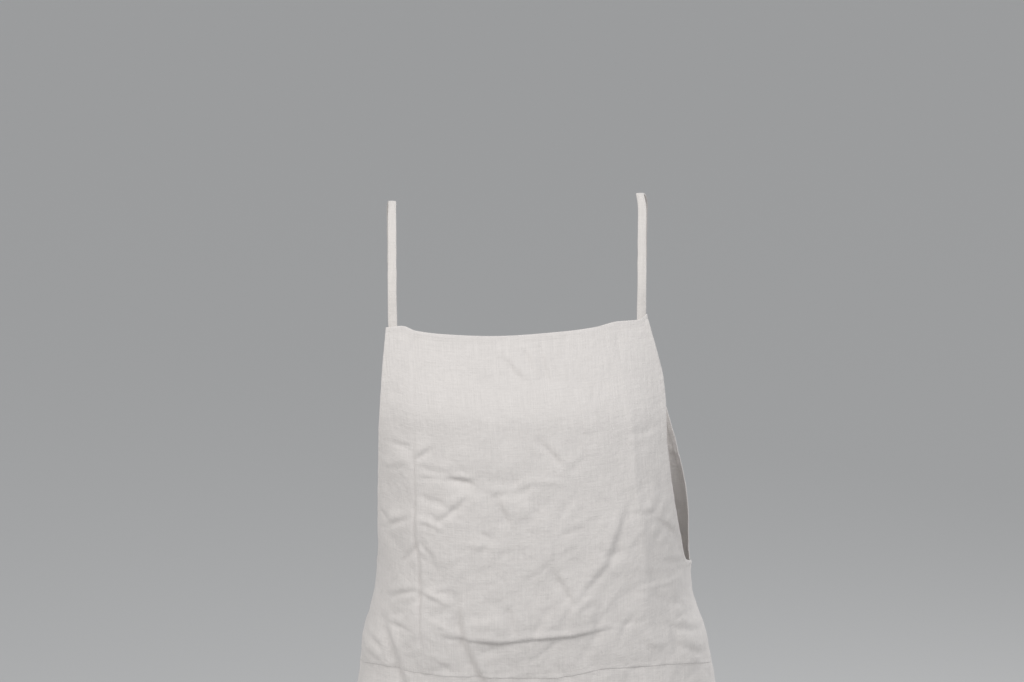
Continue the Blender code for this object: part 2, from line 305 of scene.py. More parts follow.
def flare_rise(reach, height, side):
    """How far the flares move the skirt outwards."""
    seam_height = smooth_line(DROP_SEAM[side], "reach", "height")(reach) - SEAM_GAP / 2
    drop = np.maximum(0.0, (seam_height - height) / (seam_height - HEM_HEIGHT))
    side_fade = soft_step((90 - np.abs(reach)) / FLARE_SIDE_FADE)
    ridges = sum(f.depth * np.exp(-(((reach - f.reach) / f.half_width) ** 2)) for f in FLARES[side])
    mean_ridge = sum(f.depth for f in FLARES[side]) / len(FLARES[side]) / 2
    return (ridges - mean_ridge) * drop**FLARE_GROWTH * side_fade


# %% The skirt as a piece of the form, tucked in a little behind the bodice at its top edge
LAP_TUCK = 0.004


def skirt_surface(side):
    """A function from shares to points of a skirt panel, flares included."""
    seam = smooth_line(DROP_SEAM[side], "reach", "height")

    def surface(across, down):
        reach = -90 + 180 * across
        top = seam(reach) - SEAM_GAP / 2 + LAP_TUCK
        height = top + (HEM_HEIGHT - top) * down
        points = form_points(reach, height, side)
        return points + form_normals(points, side) * flare_rise(reach, height, side)[..., None]

    return surface


# %% [markdown]
# ## A grid that is fine where the sewing is
#
# A soft crease needs a point every two millimetres. A turned hem is a step of half a millimetre, so the
# first rows and columns lie much closer together, and so do the columns along the sharp pressed line and
# the rows at the long level crease. A subdivided plane would be equally fine everywhere and waste its
# faces, so the places are counted in millimetres from each edge, and the middle is shared out with more
# where a crease needs it.

# %% Rows and columns
EDGE_STEPS = np.array([0, 0.3, 0.8, 1.6, 2.8, 4.0, 4.8, 5.6, 6.6, 8.0]) / 1000
HEM_STEPS = np.array([0, 0.3, 0.8, 1.8, 4.0, 7.0, 10.0, 13.0, 15.0, 16.0, 16.8, 17.6, 19.0]) / 1000
DENSE_SAMPLES = 801
Finer = namedtuple("Finer", "place extra reach")
FINER_COLUMNS = both_sides(Finer, front=[(-98.5, 6.5, 4.5)], back=[(-97, 6.5, 4.5)])
FINER_ROWS = both_sides(Finer, front=[(-428, 8, 10)], back=[(-409, 8, 10)])


def spaced(length, first_steps, last_steps, cells):
    """Places along a length: the given steps at both ends, and even cells between them."""
    middle = np.linspace(first_steps[-1], length - last_steps[-1], cells + 1)[1:-1]
    return np.concatenate([first_steps, middle, length - last_steps[::-1]])


def running_length(points, axis=0):
    """Length along a line or a grid of points, from the first point, row or column to each point."""
    steps = np.linalg.norm(np.diff(points, axis=axis), axis=-1)
    start = np.zeros_like(np.take(steps, [0], axis=axis))
    return np.concatenate([start, np.cumsum(steps, axis=axis)], axis=axis)


def stretched_run(line, axis, finer):
    """Length along a line of points, drawn out where the grid has to be finer."""
    run = running_length(line)
    way = np.sign(line[-1, axis] - line[0, axis])
    for place, extra, reach in finer:
        run = run + extra * np.tanh(way * (line[:, axis] - place) / reach)
    return run - run[0]


def lay_grid(surface, side, columns, rows, bottom_steps):
    """Points of a panel's grid. Every row has its columns at true distances along the cloth."""
    dense = np.linspace(0, 1, DENSE_SAMPLES)
    drop = stretched_run(surface(np.full(DENSE_SAMPLES, 0.5), dense), 2, FINER_ROWS[side])
    falls = np.interp(spaced(drop[-1], EDGE_STEPS, bottom_steps, rows), drop, dense)
    across = []
    for fall in falls:
        run = stretched_run(surface(dense, np.full(DENSE_SAMPLES, fall)), 0, FINER_COLUMNS[side])
        across.append(np.interp(spaced(run[-1], EDGE_STEPS, EDGE_STEPS, columns), run, dense))
    across = np.array(across)
    down = np.repeat(falls[:, None], across.shape[1], axis=1)
    return surface(across, down)


# %% [markdown]
# ## The creases
#
# Washed linen that has been folded, packed and put on keeps its creases. Three kinds show. Two long pressed
# lines run down from the neckline where the panel was folded. Soft pulls cross the front where the cloth
# bends over the chest and waist. Between them the whole cloth is slightly crumpled. A texture could fake
# the last, but creases that light from above picks out are real shape. So each crease is a line across the
# panel that moves the cloth in or out. A trough has a negative depth. Its lip is the ridge that the cloth
# throws up along the line's left side, and its shelf says how many times more slowly the cloth comes back
# on the right side. A long crease gives its lip as a share of its depth, a short one in millimetres.

# %% The largest folds, which the walls have too
Fold = namedtuple("Fold", "start_x start_height end_x end_height depth half_width")
FOLDS = both_sides(
    Fold,
    front=[
        (-103, -150, -97, -440, 2.2, 10),
        (112, -150, 130, -450, 2, 12),
        (-63, -264, 18, -272, -2.8, 12),
        (-68, -415, 88, -407, 2.2, 11),
        (108, -300, 50, -410, 3, 13),
        (-58, -400, -38, -462, -2.8, 12),
        (-132, -260, -104, -246, 2.6, 11),
        (-132, -318, -80, -312, 2.4, 12),
    ],
    back=[
        (-98, -200, -95, -440, 2.2, 11),
        (112, -200, 124, -440, 2, 12),
        (-90, -395, 70, -415, -3.6, 13),
        (-50, -330, 85, -350, -2.8, 13),
        (30, -240, 100, -300, 2.6, 13),
    ],
)
FOLD_EDGE_FADE = 0.016
FOLD_END_SHARE = 0.2
FOLD_SHARE = 0.45
SIDE_CRUMPLE = 0.35

# %% Long creases of the front, each through several bends: x, height, depth and width in millimetres
LongCrease = namedtuple("LongCrease", "lip shelf bends")
FRONT_LONG_CREASES = [
    # the pressed line at -X
    LongCrease(0.1, 1.0, [
        (-100.8, -150, -0.2, 2.2), (-101, -232, -0.6, 2.1), (-100.6, -260, -1.2, 1.9),
        (-100.4, -310, -1.5, 1.8), (-100, -332, -1.9, 1.9), (-97.3, -350, -2.1, 1.9),
        (-96.1, -372, -1.7, 1.8), (-96.3, -396, -1.8, 1.8), (-96.8, -432, -1.2, 2),
        (-97, -446, 0, 3),
    ]),
    # the pressed ridge at +X
    LongCrease(0.0, 1.0, [
        (100.5, -138, 0.2, 4), (105.9, -175, 0.5, 3.8), (113.5, -212, 0.7, 3.6),
        (116.1, -251, 0.8, 3.6), (119.1, -283, 0.8, 3.6), (127.3, -331, 0.6, 4),
        (129.7, -372, 0.5, 4.4), (130.9, -412, 0.4, 5), (131.5, -450, 0.2, 5),
    ]),
    # the long level crease above the drop seam
    LongCrease(0.45, 10.0, [
        (-80, -430, -0.1, 3.4), (-62, -433, -2, 3.2), (-42.8, -435, -1.8, 3.2),
        (-25, -436.3, -2.8, 3), (-12.1, -436.4, -2.4, 2.9), (14.7, -432.8, -2.1, 2.9),
        (41.5, -430.5, -3, 3), (56, -429, -2.8, 2.9), (68.3, -426.6, -2.2, 3.1),
        (87.4, -422.8, -1.4, 3.3), (99.8, -420.5, -0.4, 3.5), (118, -420, 0, 4),
    ]),
    # the long diagonal at +X, from the waist up to the side
    LongCrease(0.35, 1.4, [
        (44, -426.5, -0.8, 4), (49, -408.2, -0.9, 3.8), (55.8, -395, -1, 3.7),
        (68.8, -380.5, -1.1, 3.6), (81.3, -365.8, -1.5, 3.5), (94.6, -347.8, -1.7, 3.6),
        (100.9, -328.2, -2, 3.6), (107.7, -304.9, -1.1, 3.4), (116, -285.4, -0.3, 3.4),
    ]),
    # its second strand, which runs into the skirt
    LongCrease(0.25, 1.2, [
        (58, -470, -0.2, 5), (63.1, -457.7, -0.6, 4.8), (72.2, -439.4, -1.2, 4.4),
        (79.8, -427.3, -1.6, 4.2), (82.7, -407.3, -1.3, 4.4), (87.2, -381.4, -0.3, 4.4),
    ]),
    # the band that falls from the waist into the skirt
    LongCrease(0.3, 2.0, [
        (-59.9, -386, -0.6, 4), (-58.4, -404, -2.2, 3.8), (-55.1, -428, -4.4, 3.8),
        (-48.6, -450.3, -3.8, 4), (-37.2, -474.7, -4, 4.4), (-29, -495, -3.2, 5.4),
        (-21, -520, -1.8, 6.8), (-15, -550, -0.2, 8),
    ]),
    # the band at the side seam at -X
    LongCrease(0.3, 1.8, [
        (-134, -422, -0.6, 3.4), (-131, -434, -2.2, 3.2), (-126.7, -449.4, -3, 3.4),
        (-120.1, -474.2, -3.2, 3.8), (-115, -493, -2.8, 5), (-110, -520, -1.5, 6.5),
        (-106, -555, -0.2, 8),
    ]),
    # the broad hollow at the drop seam, which keeps the light off the cloth under the level crease
    LongCrease(0.0, 2.0, [
        (-140, -488, -3.6, 30), (-100, -489, -5, 33), (-40, -490, -4.6, 34),
        (30, -489, -4.4, 34), (75, -486, -2.4, 32), (110, -484, -0.6, 30),
    ]),
    # the skirt's long folds, which fall between its flares
    LongCrease(0.35, 1.4, [
        (-124, -565, 0, 8), (-135, -650, -1.6, 10), (-150, -780, -3.6, 12.5),
        (-166, -940, -5.4, 15),
    ]),
    LongCrease(0.35, 1.7, [
        (-49, -580, 0, 8), (-55, -660, -2.2, 9.5), (-58, -800, -4.6, 12), (-66, -940, -6.2, 15),
    ]),
    LongCrease(0.3, 1.3, [
        (44, -525, 0, 7), (48, -620, -2, 9), (50, -760, -3, 11.5), (54, -940, -4.8, 14),
    ]),
    LongCrease(0.4, 1.6, [
        (125, -550, 0, 7.5), (138, -640, -2.4, 9.5), (149, -790, -4.8, 13),
        (160, -940, -6, 15.5),
    ]),
]

# %% Short creases of the front
Crease = namedtuple("Crease", "x height end_x end_height bow depth width lip shelf", defaults=(1.0,))
FRONT_CREASES = table(Crease, [
    # the dark pinch at the chest, the bowl beside it and the pull below them
    (-95.6, -266.5, -68, -265, 0, -0.8, 2.4, 0.3),
    (-67, -265.2, -43.5, -269, 0.8, -3.1, 2.8, 1.2, 1.8),
    (-43, -272, -23, -280.5, 0, -0.5, 3.8, 0.4, 2),
    (-26, -280.5, -4, -279, -0.8, -0.9, 3.6, 0.8, 2),
    (-1, -278, 18.5, -269.2, -1, -1.1, 3.4, 0.8, 1.6),
    (20, -265.5, 47, -267.5, 1, 1, 4.2, 0),
    (-21.1, -283, -8.2, -312, 1, -2.3, 3.8, 0.6, 2),
    (-78.6, -311, -49.5, -286, -1, -1.7, 3.4, 0.8),
    # the left side: pulls on both sides of the pressed line
    (-122.5, -232.5, -104, -235.5, 0, -0.9, 2.8, 0.6),
    (-119, -242, -108.5, -252.5, 0, 0.6, 3.6, 0),
    (-97.5, -247.5, -84.8, -236.2, 0, -1.8, 3, 0.9),
    (-137.5, -306.5, -126.1, -317.2, 0, -1.5, 3, 0.7),
    (-126.2, -323, -106.8, -310.2, 1, -1.9, 3.1, 0.9),
    (-94.5, -309, -73.5, -316.5, 1, 1.7, 3, 0),
    (-93, -313.5, -77, -319.5, 1, -0.5, 2.8, 0),
    (-110.3, -355.5, -98, -336.5, 0, -1.7, 3, 0.6),
    (-93, -335, -82.2, -351, 0, -1.4, 3, 0.6),
    (-124, -396.5, -99.8, -385, 1.2, -2, 2.9, 0.9),
    (-94.5, -383.5, -69, -393.8, 1.2, 1.7, 3, 0),
    (-92.5, -388, -74, -396, 1, -0.4, 2.8, 0),
    (-132, -423, -108.5, -426.8, 0, -1.2, 3.2, 0.6),
    (-88, -413, -64, -424, 1, 0.9, 3.4, 0),
    (-150, -444, -138, -454, 1.5, -1.4, 3, 0.6),
    (-152, -462, -140, -467, 0, -1, 3, 0.5),
    (-86, -456, -68, -466, 0.8, -1, 3.4, 0.5),
    # the middle of the waist
    (-7.5, -399, -2.5, -427, 0, -2.6, 3.8, 0.6, 1.4),
    (36, -359, 54.8, -392.5, 1, -2.5, 3.6, 0.8, 2),
    (-50.1, -333, -17.7, -332.8, 0.6, 1, 4.4, 0),
    (-48, -340, -23, -339.5, 0.4, -0.4, 4.4, 0),
    (-35, -318.5, -26.5, -323.5, 0, -1, 2.8, 0.3),
    (42.9, -322.8, 67.6, -314, 1, -0.7, 3.2, 0.3),
    (43, -344, 61, -333, 0, -0.5, 3.2, 0.2),
    (25, -372, 18, -390, 0, -0.6, 4.2, 0.3),
    (19.3, -453, 43.4, -432, 0, -1.2, 3.6, 0.5),
    (-20, -442, -38, -448, 0, -0.9, 4, 0.4),
    # the right side
    (137.6, -309.3, 164, -339, 2.4, -2.8, 2.8, 1, 1.5),
    (146, -356, 169, -363, 0, -0.9, 3.6, 0.5),
    (137, -388, 156, -405, 0, -0.8, 3.6, 0.4),
    (151, -421.5, 189, -440, -1, -1.4, 3.4, 0.8),
    (156, -427, 165.5, -449.5, 0, -0.9, 3.4, 0.6),
    (162, -444, 191, -463.5, 0, -1.3, 3, 0.7),
    (125, -435, 140, -448, 0, -0.8, 3.6, 0.4),
    # soft diagonals under the neckline
    (-14, -145.5, 7, -168.4, 0, -1.9, 3.4, 0.6, 1.5),
    (7.6, -138, 14.4, -156, 0, -1.6, 3, 0.5, 1.5),
    (23, -136, 31.3, -169, 0, -1.6, 3.2, 0.5, 1.5),
    (34, -150, 42, -170, 0, -0.6, 3.4, 0.3),
    (21.9, -225, 45, -250, 0, -1.7, 3.6, 0.7),
    (52, -258, 70, -240, 0, -0.6, 3.6, 0.3),
    (101, -147, 100, -116, 0, -0.9, 3.6, 0.3),
    (-102, -144, -98, -123, 0, -1.1, 2.6, 0.5),
    (137, -189, 147, -198, 0, -0.9, 3, 0.4),
    # the skirt: a few cross pulls between the flares
    (-150, -525, -105, -560, 4, -1.6, 6, 0.8),
    (30, -505, 85, -535, 4, -1.6, 5.6, 0.8),
    (115, -515, 175, -535, -4, -1.8, 5.8, 0.9),
    (-70, -590, -10, -615, -5, -1.7, 6, 0.9),
    (60, -630, 130, -605, 5, -1.8, 6.2, 0.9),
    (-160, -660, -100, -690, 5, -1.6, 6, 0.8),
    (5, -720, 50, -750, 3, -1.4, 6, 0.7),
    (150, -710, 205, -735, 3, -1.6, 6, 0.8),
    (-110, -810, -50, -830, -3, -1.5, 6.2, 0.8),
    (90, -835, 155, -815, 3, -1.5, 6.2, 0.8),
], "shelf")

# %% Creases of the back, of the same kinds
BACK_LONG_CREASES = [
    # the two pressed lines
    LongCrease(0.1, 1.0, [
        (-99, -190, -0.2, 2.2), (-98.5, -250, -0.9, 2), (-97, -320, -1.4, 1.9),
        (-96, -390, -1.5, 1.9), (-95.5, -445, -0.4, 2.2),
    ]),
    LongCrease(0.0, 1.0, [
        (111, -190, 0.2, 4), (114, -260, 0.8, 3.6), (119, -340, 0.9, 3.8),
        (124, -410, 0.6, 4.4), (125, -450, 0.2, 5),
    ]),
    # the level pull at the small of the back
    LongCrease(0.5, 2.6, [
        (-100, -396, -0.2, 3.6), (-78, -400, -1.7, 3.4), (-40, -409, -2.4, 3.2),
        (0, -413, -2.1, 3.1), (40, -416, -2.4, 3.2), (75, -412, -1.3, 3.4),
        (100, -406, -0.2, 3.6),
    ]),
    # a diagonal from the waist up to the side, and one that falls into the skirt
    LongCrease(0.35, 1.3, [
        (35, -390, -0.4, 4), (55, -370, -1.5, 3.8), (85, -345, -2, 3.6), (110, -310, -1.5, 3.6),
        (125, -285, -0.3, 3.6),
    ]),
    LongCrease(0.35, 1.2, [
        (-45, -424, -0.6, 4.4), (-56, -450, -2, 4.4), (-62, -480, -2.2, 5),
        (-66, -515, -1.3, 6.5), (-69, -550, -0.2, 8),
    ]),
    # the skirt's long folds, which fall between its flares
    LongCrease(0.35, 1.5, [
        (-132, -530, 0, 8), (-145, -630, -2.2, 10), (-160, -770, -4, 12.5),
        (-176, -940, -5.6, 15),
    ]),
    LongCrease(0.35, 1.4, [
        (-70, -600, 0, 8), (-75, -690, -2.6, 10), (-80, -820, -4.6, 12.5), (-88, -940, -6, 15),
    ]),
    LongCrease(0.3, 1.8, [
        (20, -505, -0.2, 7), (27, -600, -2.4, 9), (28, -760, -3.8, 11.5), (32, -940, -5.4, 14),
    ]),
    LongCrease(0.4, 1.4, [
        (118, -540, 0, 7.5), (129, -650, -2.6, 10), (137, -800, -5, 13),
        (148, -940, -6.2, 15.5),
    ]),
]
BACK_CREASES = table(Crease, [
    (-50, -330, 20, -345, -4.5, -1.9, 3.6, 1, 1.5),
    (-120, -355, -99, -347, 0, -1.7, 3.1, 0.8),
    (-93, -347, -70, -356, 1, 1.5, 3.1, 0),
    (-126, -425, -98, -418, 0, -1.5, 3.2, 0.6),
    (128, -372, 158, -380, 0, -1.8, 3.4, 0.8),
    (132, -430, 170, -440, 0, -1.9, 3.4, 0.9),
    (30, -300, 96, -238, 3, -1.5, 4, 0.7),
    (-82, -262, -40, -300, 2, -1.6, 3.8, 0.7),
    (-104, -232, -70, -252, 0, -1.2, 3.4, 0.6),
    (60, -440, 82, -402, 3, -1.6, 4, 0.7),
    (-20, -222, 6, -242, 0, -0.9, 3.6, 0.5),
    (10, -200, 24, -226, 0, -0.9, 3.4, 0.5),
    (-118, -481, -126, -440, 0, -1.6, 4, 0.7),
    (10, -450, -6, -470, 0, -1.2, 4, 0.5),
    # the skirt
    (-150, -535, -100, -515, 4, -1.7, 5.8, 0.9),
    (-20, -530, 45, -555, 5, -1.7, 6, 0.9),
    (90, -510, 160, -540, 4, -1.8, 5.8, 0.9),
    (-130, -635, -70, -615, -4, -1.6, 6, 0.8),
    (50, -645, 110, -620, 4, -1.6, 6, 0.8),
    (-40, -710, 20, -735, -4, -1.7, 6.2, 0.9),
    (130, -740, 190, -720, 4, -1.6, 6, 0.8),
    (-170, -760, -115, -785, 4, -1.5, 6, 0.8),
    (10, -850, 75, -830, 4, -1.5, 6.2, 0.8),
], "shelf")

# %% How a crease moves the cloth
CREASE_PIECES = 10
CREASE_END_SHARE = 0.08
CREASE_TAPER = 0.7
PIECES_BETWEEN_BENDS = 3
LIP_DISTANCE = 1.9
LIP_WIDTH = 1.5
LIP_ROOM = 6.5

Line = namedtuple("Line", "points depths widths lips shelf")


def line_of(crease):
    """A short crease as a line whose depth fades towards both ends."""
    start = np.array([crease.x, crease.height])
    run = np.array([crease.end_x, crease.end_height]) - start
    leftward = np.array([-run[1], run[0]]) / np.hypot(*run)
    share = np.linspace(0, 1, CREASE_PIECES + 1)
    points = start + run * share[:, None] + leftward * (crease.bow * 4 * share * (1 - share))[:, None]
    taper = np.sin(np.pi * (CREASE_END_SHARE + (1 - 2 * CREASE_END_SHARE) * share)) ** CREASE_TAPER
    widths = np.full(share.shape, crease.width)
    return Line(points, crease.depth * taper, widths, crease.lip * taper, crease.shelf)


def through_points(before, start, end, after, t):
    """Place between start and end on the smooth curve that passes through all four."""
    first = start * 2
    second = (end - before) * t
    third = (before * 2 - start * 5 + end * 4 - after) * t * t
    fourth = (start * 3 - before - end * 3 + after) * t * t * t
    return (first + second + third + fourth) / 2


def line_through(long_crease):
    """A long crease as a smooth line through its bends."""
    bends = np.array(long_crease.bends) / 1000
    last = len(bends) - 1
    steps = np.linspace(0, last, last * PIECES_BETWEEN_BENDS + 1)
    held = np.concatenate([2 * bends[:1] - bends[1:2], bends, 2 * bends[-1:] - bends[-2:-1]])
    index = np.minimum(steps.astype(int), last - 1)
    neighbours = [held[index + offset] for offset in range(4)]
    curve = through_points(*neighbours, (steps - index)[:, None])
    depths = curve[:, 2]
    return Line(curve[:, :2], depths, curve[:, 3], np.abs(depths) * long_crease.lip, long_crease.shelf)


def lines_through(creases, long_creases):
    """The lines of one side's creases."""
    return [line_of(crease) for crease in creases] + [line_through(crease) for crease in long_creases]


def line_rise(x, height, line):
    """How far one crease moves points outwards, from where they lie on the front or the back."""
    gap = np.full(x.shape, np.inf)
    aside = np.zeros(x.shape)
    beyond = np.zeros(x.shape)
    along = np.zeros(x.shape)
    last = len(line.points) - 1
    for index, (a, b) in enumerate(zip(line.points, line.points[1:])):
        length = np.hypot(*(b - a))
        way = (b - a) / length
        forward = (x - a[0]) * way[0] + (height - a[1]) * way[1]
        leftward = (height - a[1]) * way[0] - (x - a[0]) * way[1]
        past = forward - np.clip(forward, 0, length)
        nearer = np.hypot(leftward, past) < gap
        gap = np.where(nearer, np.hypot(leftward, past), gap)
        aside = np.where(nearer, leftward, aside)
        along = np.where(nearer, index + (forward - past) / length, along)
        is_end = (past < 0) & (index == 0) | (past > 0) & (index == last - 1)
        beyond = np.where(nearer, np.where(is_end, past, 0), beyond)
    places = np.arange(last + 1)
    width = np.interp(along, places, line.widths)
    signed = aside / width
    slowed = np.where(signed < 0, signed / line.shelf, signed)
    trough = np.interp(along, places, line.depths) * np.exp(-(slowed**2))
    lip = np.interp(along, places, line.lips) * np.exp(-(((signed - LIP_DISTANCE) / LIP_WIDTH) ** 2))
    return (trough + lip) * np.exp(-((beyond / width) ** 2))


def lines_rise(points, lines):
    """How far all the creases move points outwards. Each one is worked out only near its line."""
    x = points[..., 0]
    height = points[..., 2]
    total = np.zeros(x.shape)
    for line in lines:
        room = line.widths.max() * max(4 * line.shelf, LIP_ROOM)
        low = line.points.min(axis=0) - room
        high = line.points.max(axis=0) + room
        near = (x > low[0]) & (x < high[0]) & (height > low[1]) & (height < high[1])
        total[near] += line_rise(x[near], height[near], line)
    return total


def folds_rise(points, side):
    """How far the largest folds move points outwards."""
    total = np.zeros(points.shape[:-1])
    for fold in FOLDS[side]:
        start = np.array([fold.start_x, fold.start_height])
        along = np.array([fold.end_x, fold.end_height]) - start
        place = points[..., [0, 2]] - start
        share = place @ along / (along @ along)
        gap = np.linalg.norm(place - along * np.clip(share, 0, 1)[..., None], axis=-1)
        start_fade = soft_step(share / FOLD_END_SHARE + FOLD_END_SHARE)
        end_fade = soft_step((1 - share) / FOLD_END_SHARE + FOLD_END_SHARE)
        total += fold.depth * start_fade * end_fade * np.exp(-((gap / fold.half_width) ** 2))
    return total


# %% [markdown]
# The crumple between the creases has no pattern, so it is drawn by seeded chance. Crumpled cloth is a
# mosaic of soft facets that meet along faint lines. The size of a smooth noise gives just that, because it
# has a valley wherever the noise passes through zero. Short shallow creases of every direction lie on top.
# The seeds keep every run the same. The cloth is pulled smooth between the straps, so the crumple is faint
# at the neckline and full from the chest down.

# %% Crumple
CRUMPLE_SEEDS = {"front": 11, "back": 12}
CRUMPLE_COUNT = 800
CRUMPLE_X = (-0.23, 0.27)
CRUMPLE_HEIGHTS = (HEM_HEIGHT - 0.01, -0.10)
CRUMPLE_LENGTHS = (0.012, 0.050)
CRUMPLE_WIDTHS = (0.0028, 0.0056)
CRUMPLE_LEAST_DEPTH = 0.00012
CRUMPLE_MORE_DEPTH = 0.0010
CRUMPLE_RARENESS = 2.5
CRUMPLE_BOW = 0.12
CRUMPLE_LIP = 0.5
CRUMPLE_TURN = math.radians(33)
CRUMPLE_LEAN = math.radians(27)
CRUMPLE_SMOOTH_HEIGHT = -0.15
CRUMPLE_FULL_HEIGHT = -0.32
CRUMPLE_LEAST = 0.20
FACET_SOFTNESS = 0.08
NOISE_CELLS = 32


def noise(points, scale, seed):
    """Smooth noise between -1 and 1 that changes over the given distance."""
    lattice = np.random.default_rng(seed).uniform(-1, 1, (NOISE_CELLS,) * 3)
    place = points / scale
    cell = np.floor(place).astype(int)
    t = place - cell
    t = t * t * (3 - 2 * t)
    total = np.zeros(points.shape[:-1])
    for corner in product((0, 1), repeat=3):
        index = (cell + corner) % NOISE_CELLS
        weight = np.prod(np.where(np.array(corner) == 1, t, 1 - t), axis=-1)
        total += lattice[index[..., 0], index[..., 1], index[..., 2]] * weight
    return total


def facets(points, scale, seed):
    """Soft facets that meet in valleys, about 0 to 1 high."""
    return np.sqrt(noise(points, scale, seed) ** 2 + FACET_SOFTNESS**2)


Wave = namedtuple("Wave", "shape rise scale seed")
CRUMPLE_WAVES = [
    Wave(noise, 0.00110, 0.046, 3),
    Wave(facets, 0.00160, 0.034, 4),
    Wave(facets, 0.00060, 0.0170, 6),
    Wave(facets, -0.00050, 0.0125, 7),
    Wave(noise, 0.00016, 0.0065, 5),
]


def crumple_lines(side):
    """Short shallow creases of every direction, the same in every run."""
    chance = np.random.default_rng(CRUMPLE_SEEDS[side])
    lines = []
    for _ in range(CRUMPLE_COUNT):
        x = chance.uniform(*CRUMPLE_X)
        height = chance.uniform(*CRUMPLE_HEIGHTS)
        turn = chance.uniform(0, math.tau)
        length = chance.uniform(*CRUMPLE_LENGTHS)
        way = chance.choice([-1, -1, 1])
        depth = way * (CRUMPLE_LEAST_DEPTH + CRUMPLE_MORE_DEPTH * chance.uniform(0, 1) ** CRUMPLE_RARENESS)
        width = chance.uniform(*CRUMPLE_WIDTHS)
        bow = chance.uniform(-CRUMPLE_BOW, CRUMPLE_BOW) * length
        end_x = x + length * math.cos(turn)
        end_height = height + length * math.sin(turn)
        lip = abs(depth) * CRUMPLE_LIP
        lines.append(line_of(Crease(x, height, end_x, end_height, bow, depth, width, lip)))
    return lines


def crumple_rise(points, side):
    """How far the crumple moves points outwards."""
    x, y, height = np.moveaxis(points, -1, 0)
    calm = (CRUMPLE_SMOOTH_HEIGHT - height) / (CRUMPLE_SMOOTH_HEIGHT - CRUMPLE_FULL_HEIGHT)
    amount = CRUMPLE_LEAST + (1 - CRUMPLE_LEAST) * soft_step(calm)
    turned_x = x * math.cos(CRUMPLE_TURN) + height * math.sin(CRUMPLE_TURN)
    turned_height = height * math.cos(CRUMPLE_TURN) - x * math.sin(CRUMPLE_TURN)
    leaned_x = turned_x * math.cos(CRUMPLE_LEAN) - y * math.sin(CRUMPLE_LEAN)
    leaned_y = turned_x * math.sin(CRUMPLE_LEAN) + y * math.cos(CRUMPLE_LEAN)
    turned = np.stack([leaned_x, leaned_y, turned_height], axis=-1)
    waves = sum(wave.rise * wave.shape(turned, wave.scale, wave.seed) for wave in CRUMPLE_WAVES)
    return (waves + lines_rise(points, crumple_lines(side))) * amount


# %% [markdown]
# ## Hems and seams as shape
#
# At the neckline, the armholes and the hem the cloth is turned under twice, so a strip along the edge is
# three layers thick and stands a little proud, with a row of stitches that pulls it in. At a seam the two
# panels turn inwards, which leaves a fine groove, and the stitches gather the cloth into small puckers. All
# of this depends on the distance to the edge alone, so one function makes it for every panel.

# %% Layers, stitch lines and puckers
CLOTH = 0.0005
TURNED = 0.0012
TURNED_STEP = 0.0010
EDGE_ROUND = 0.0007
EDGE_THINNEST = 0.3
NECK_HEM = 0.0060
ARM_HEM = 0.0056
SKIRT_HEM = 0.0165
SEAM_LAP = 0.0062
STITCH_INSET = 0.0012
STITCH_PULL = 0.00022
STITCH_PULL_WIDTH = 0.0009
SEAM_DIP = 0.0005
SEAM_DIP_WIDTH = 0.0016
PUCKER = 0.00075
PUCKER_REACH = 0.009
PUCKER_SPACING = 0.0062
PUCKER_SEED = 21
HEM_PUCKER_SHARE = 0.35
LAP_RISE = 0.00008
LAP_DEPTH = 0.00024
LAP_TUCK_DEPTH = 0.00022
LAP_LAYERS = 0.45
LAP_THIN = 0.0030
LAP_THINNEST = 0.5
LAP_RECOVERY = 0.0065

Border = namedtuple("Border", "distance kind width")


def distance_to_line(points, line):
    """Distance from each point to a line through space."""
    nearest = np.full(points.shape[:-1], np.inf)
    for start, end in zip(line, line[1:]):
        piece = end - start
        t = np.clip((points - start) @ piece / (piece @ piece), 0, 1)
        away = points - start - t[..., None] * piece
        nearest = np.minimum(nearest, np.linalg.norm(away, axis=-1))
    return nearest


def borders_of(points, top, bottom, open_rows):
    """Distance to each edge of a panel, with how that edge is sewn."""
    from_top = running_length(points)
    borders = [Border(from_top, *top), Border(from_top[-1:] - from_top, *bottom)]
    for edge in (0, -1):
        line = points[:, edge]
        if open_rows:
            borders.append(Border(distance_to_line(points, line[: open_rows + 1]), "hem", ARM_HEM))
        borders.append(Border(distance_to_line(points, line[open_rows:]), "seam", 0.0))
    return borders


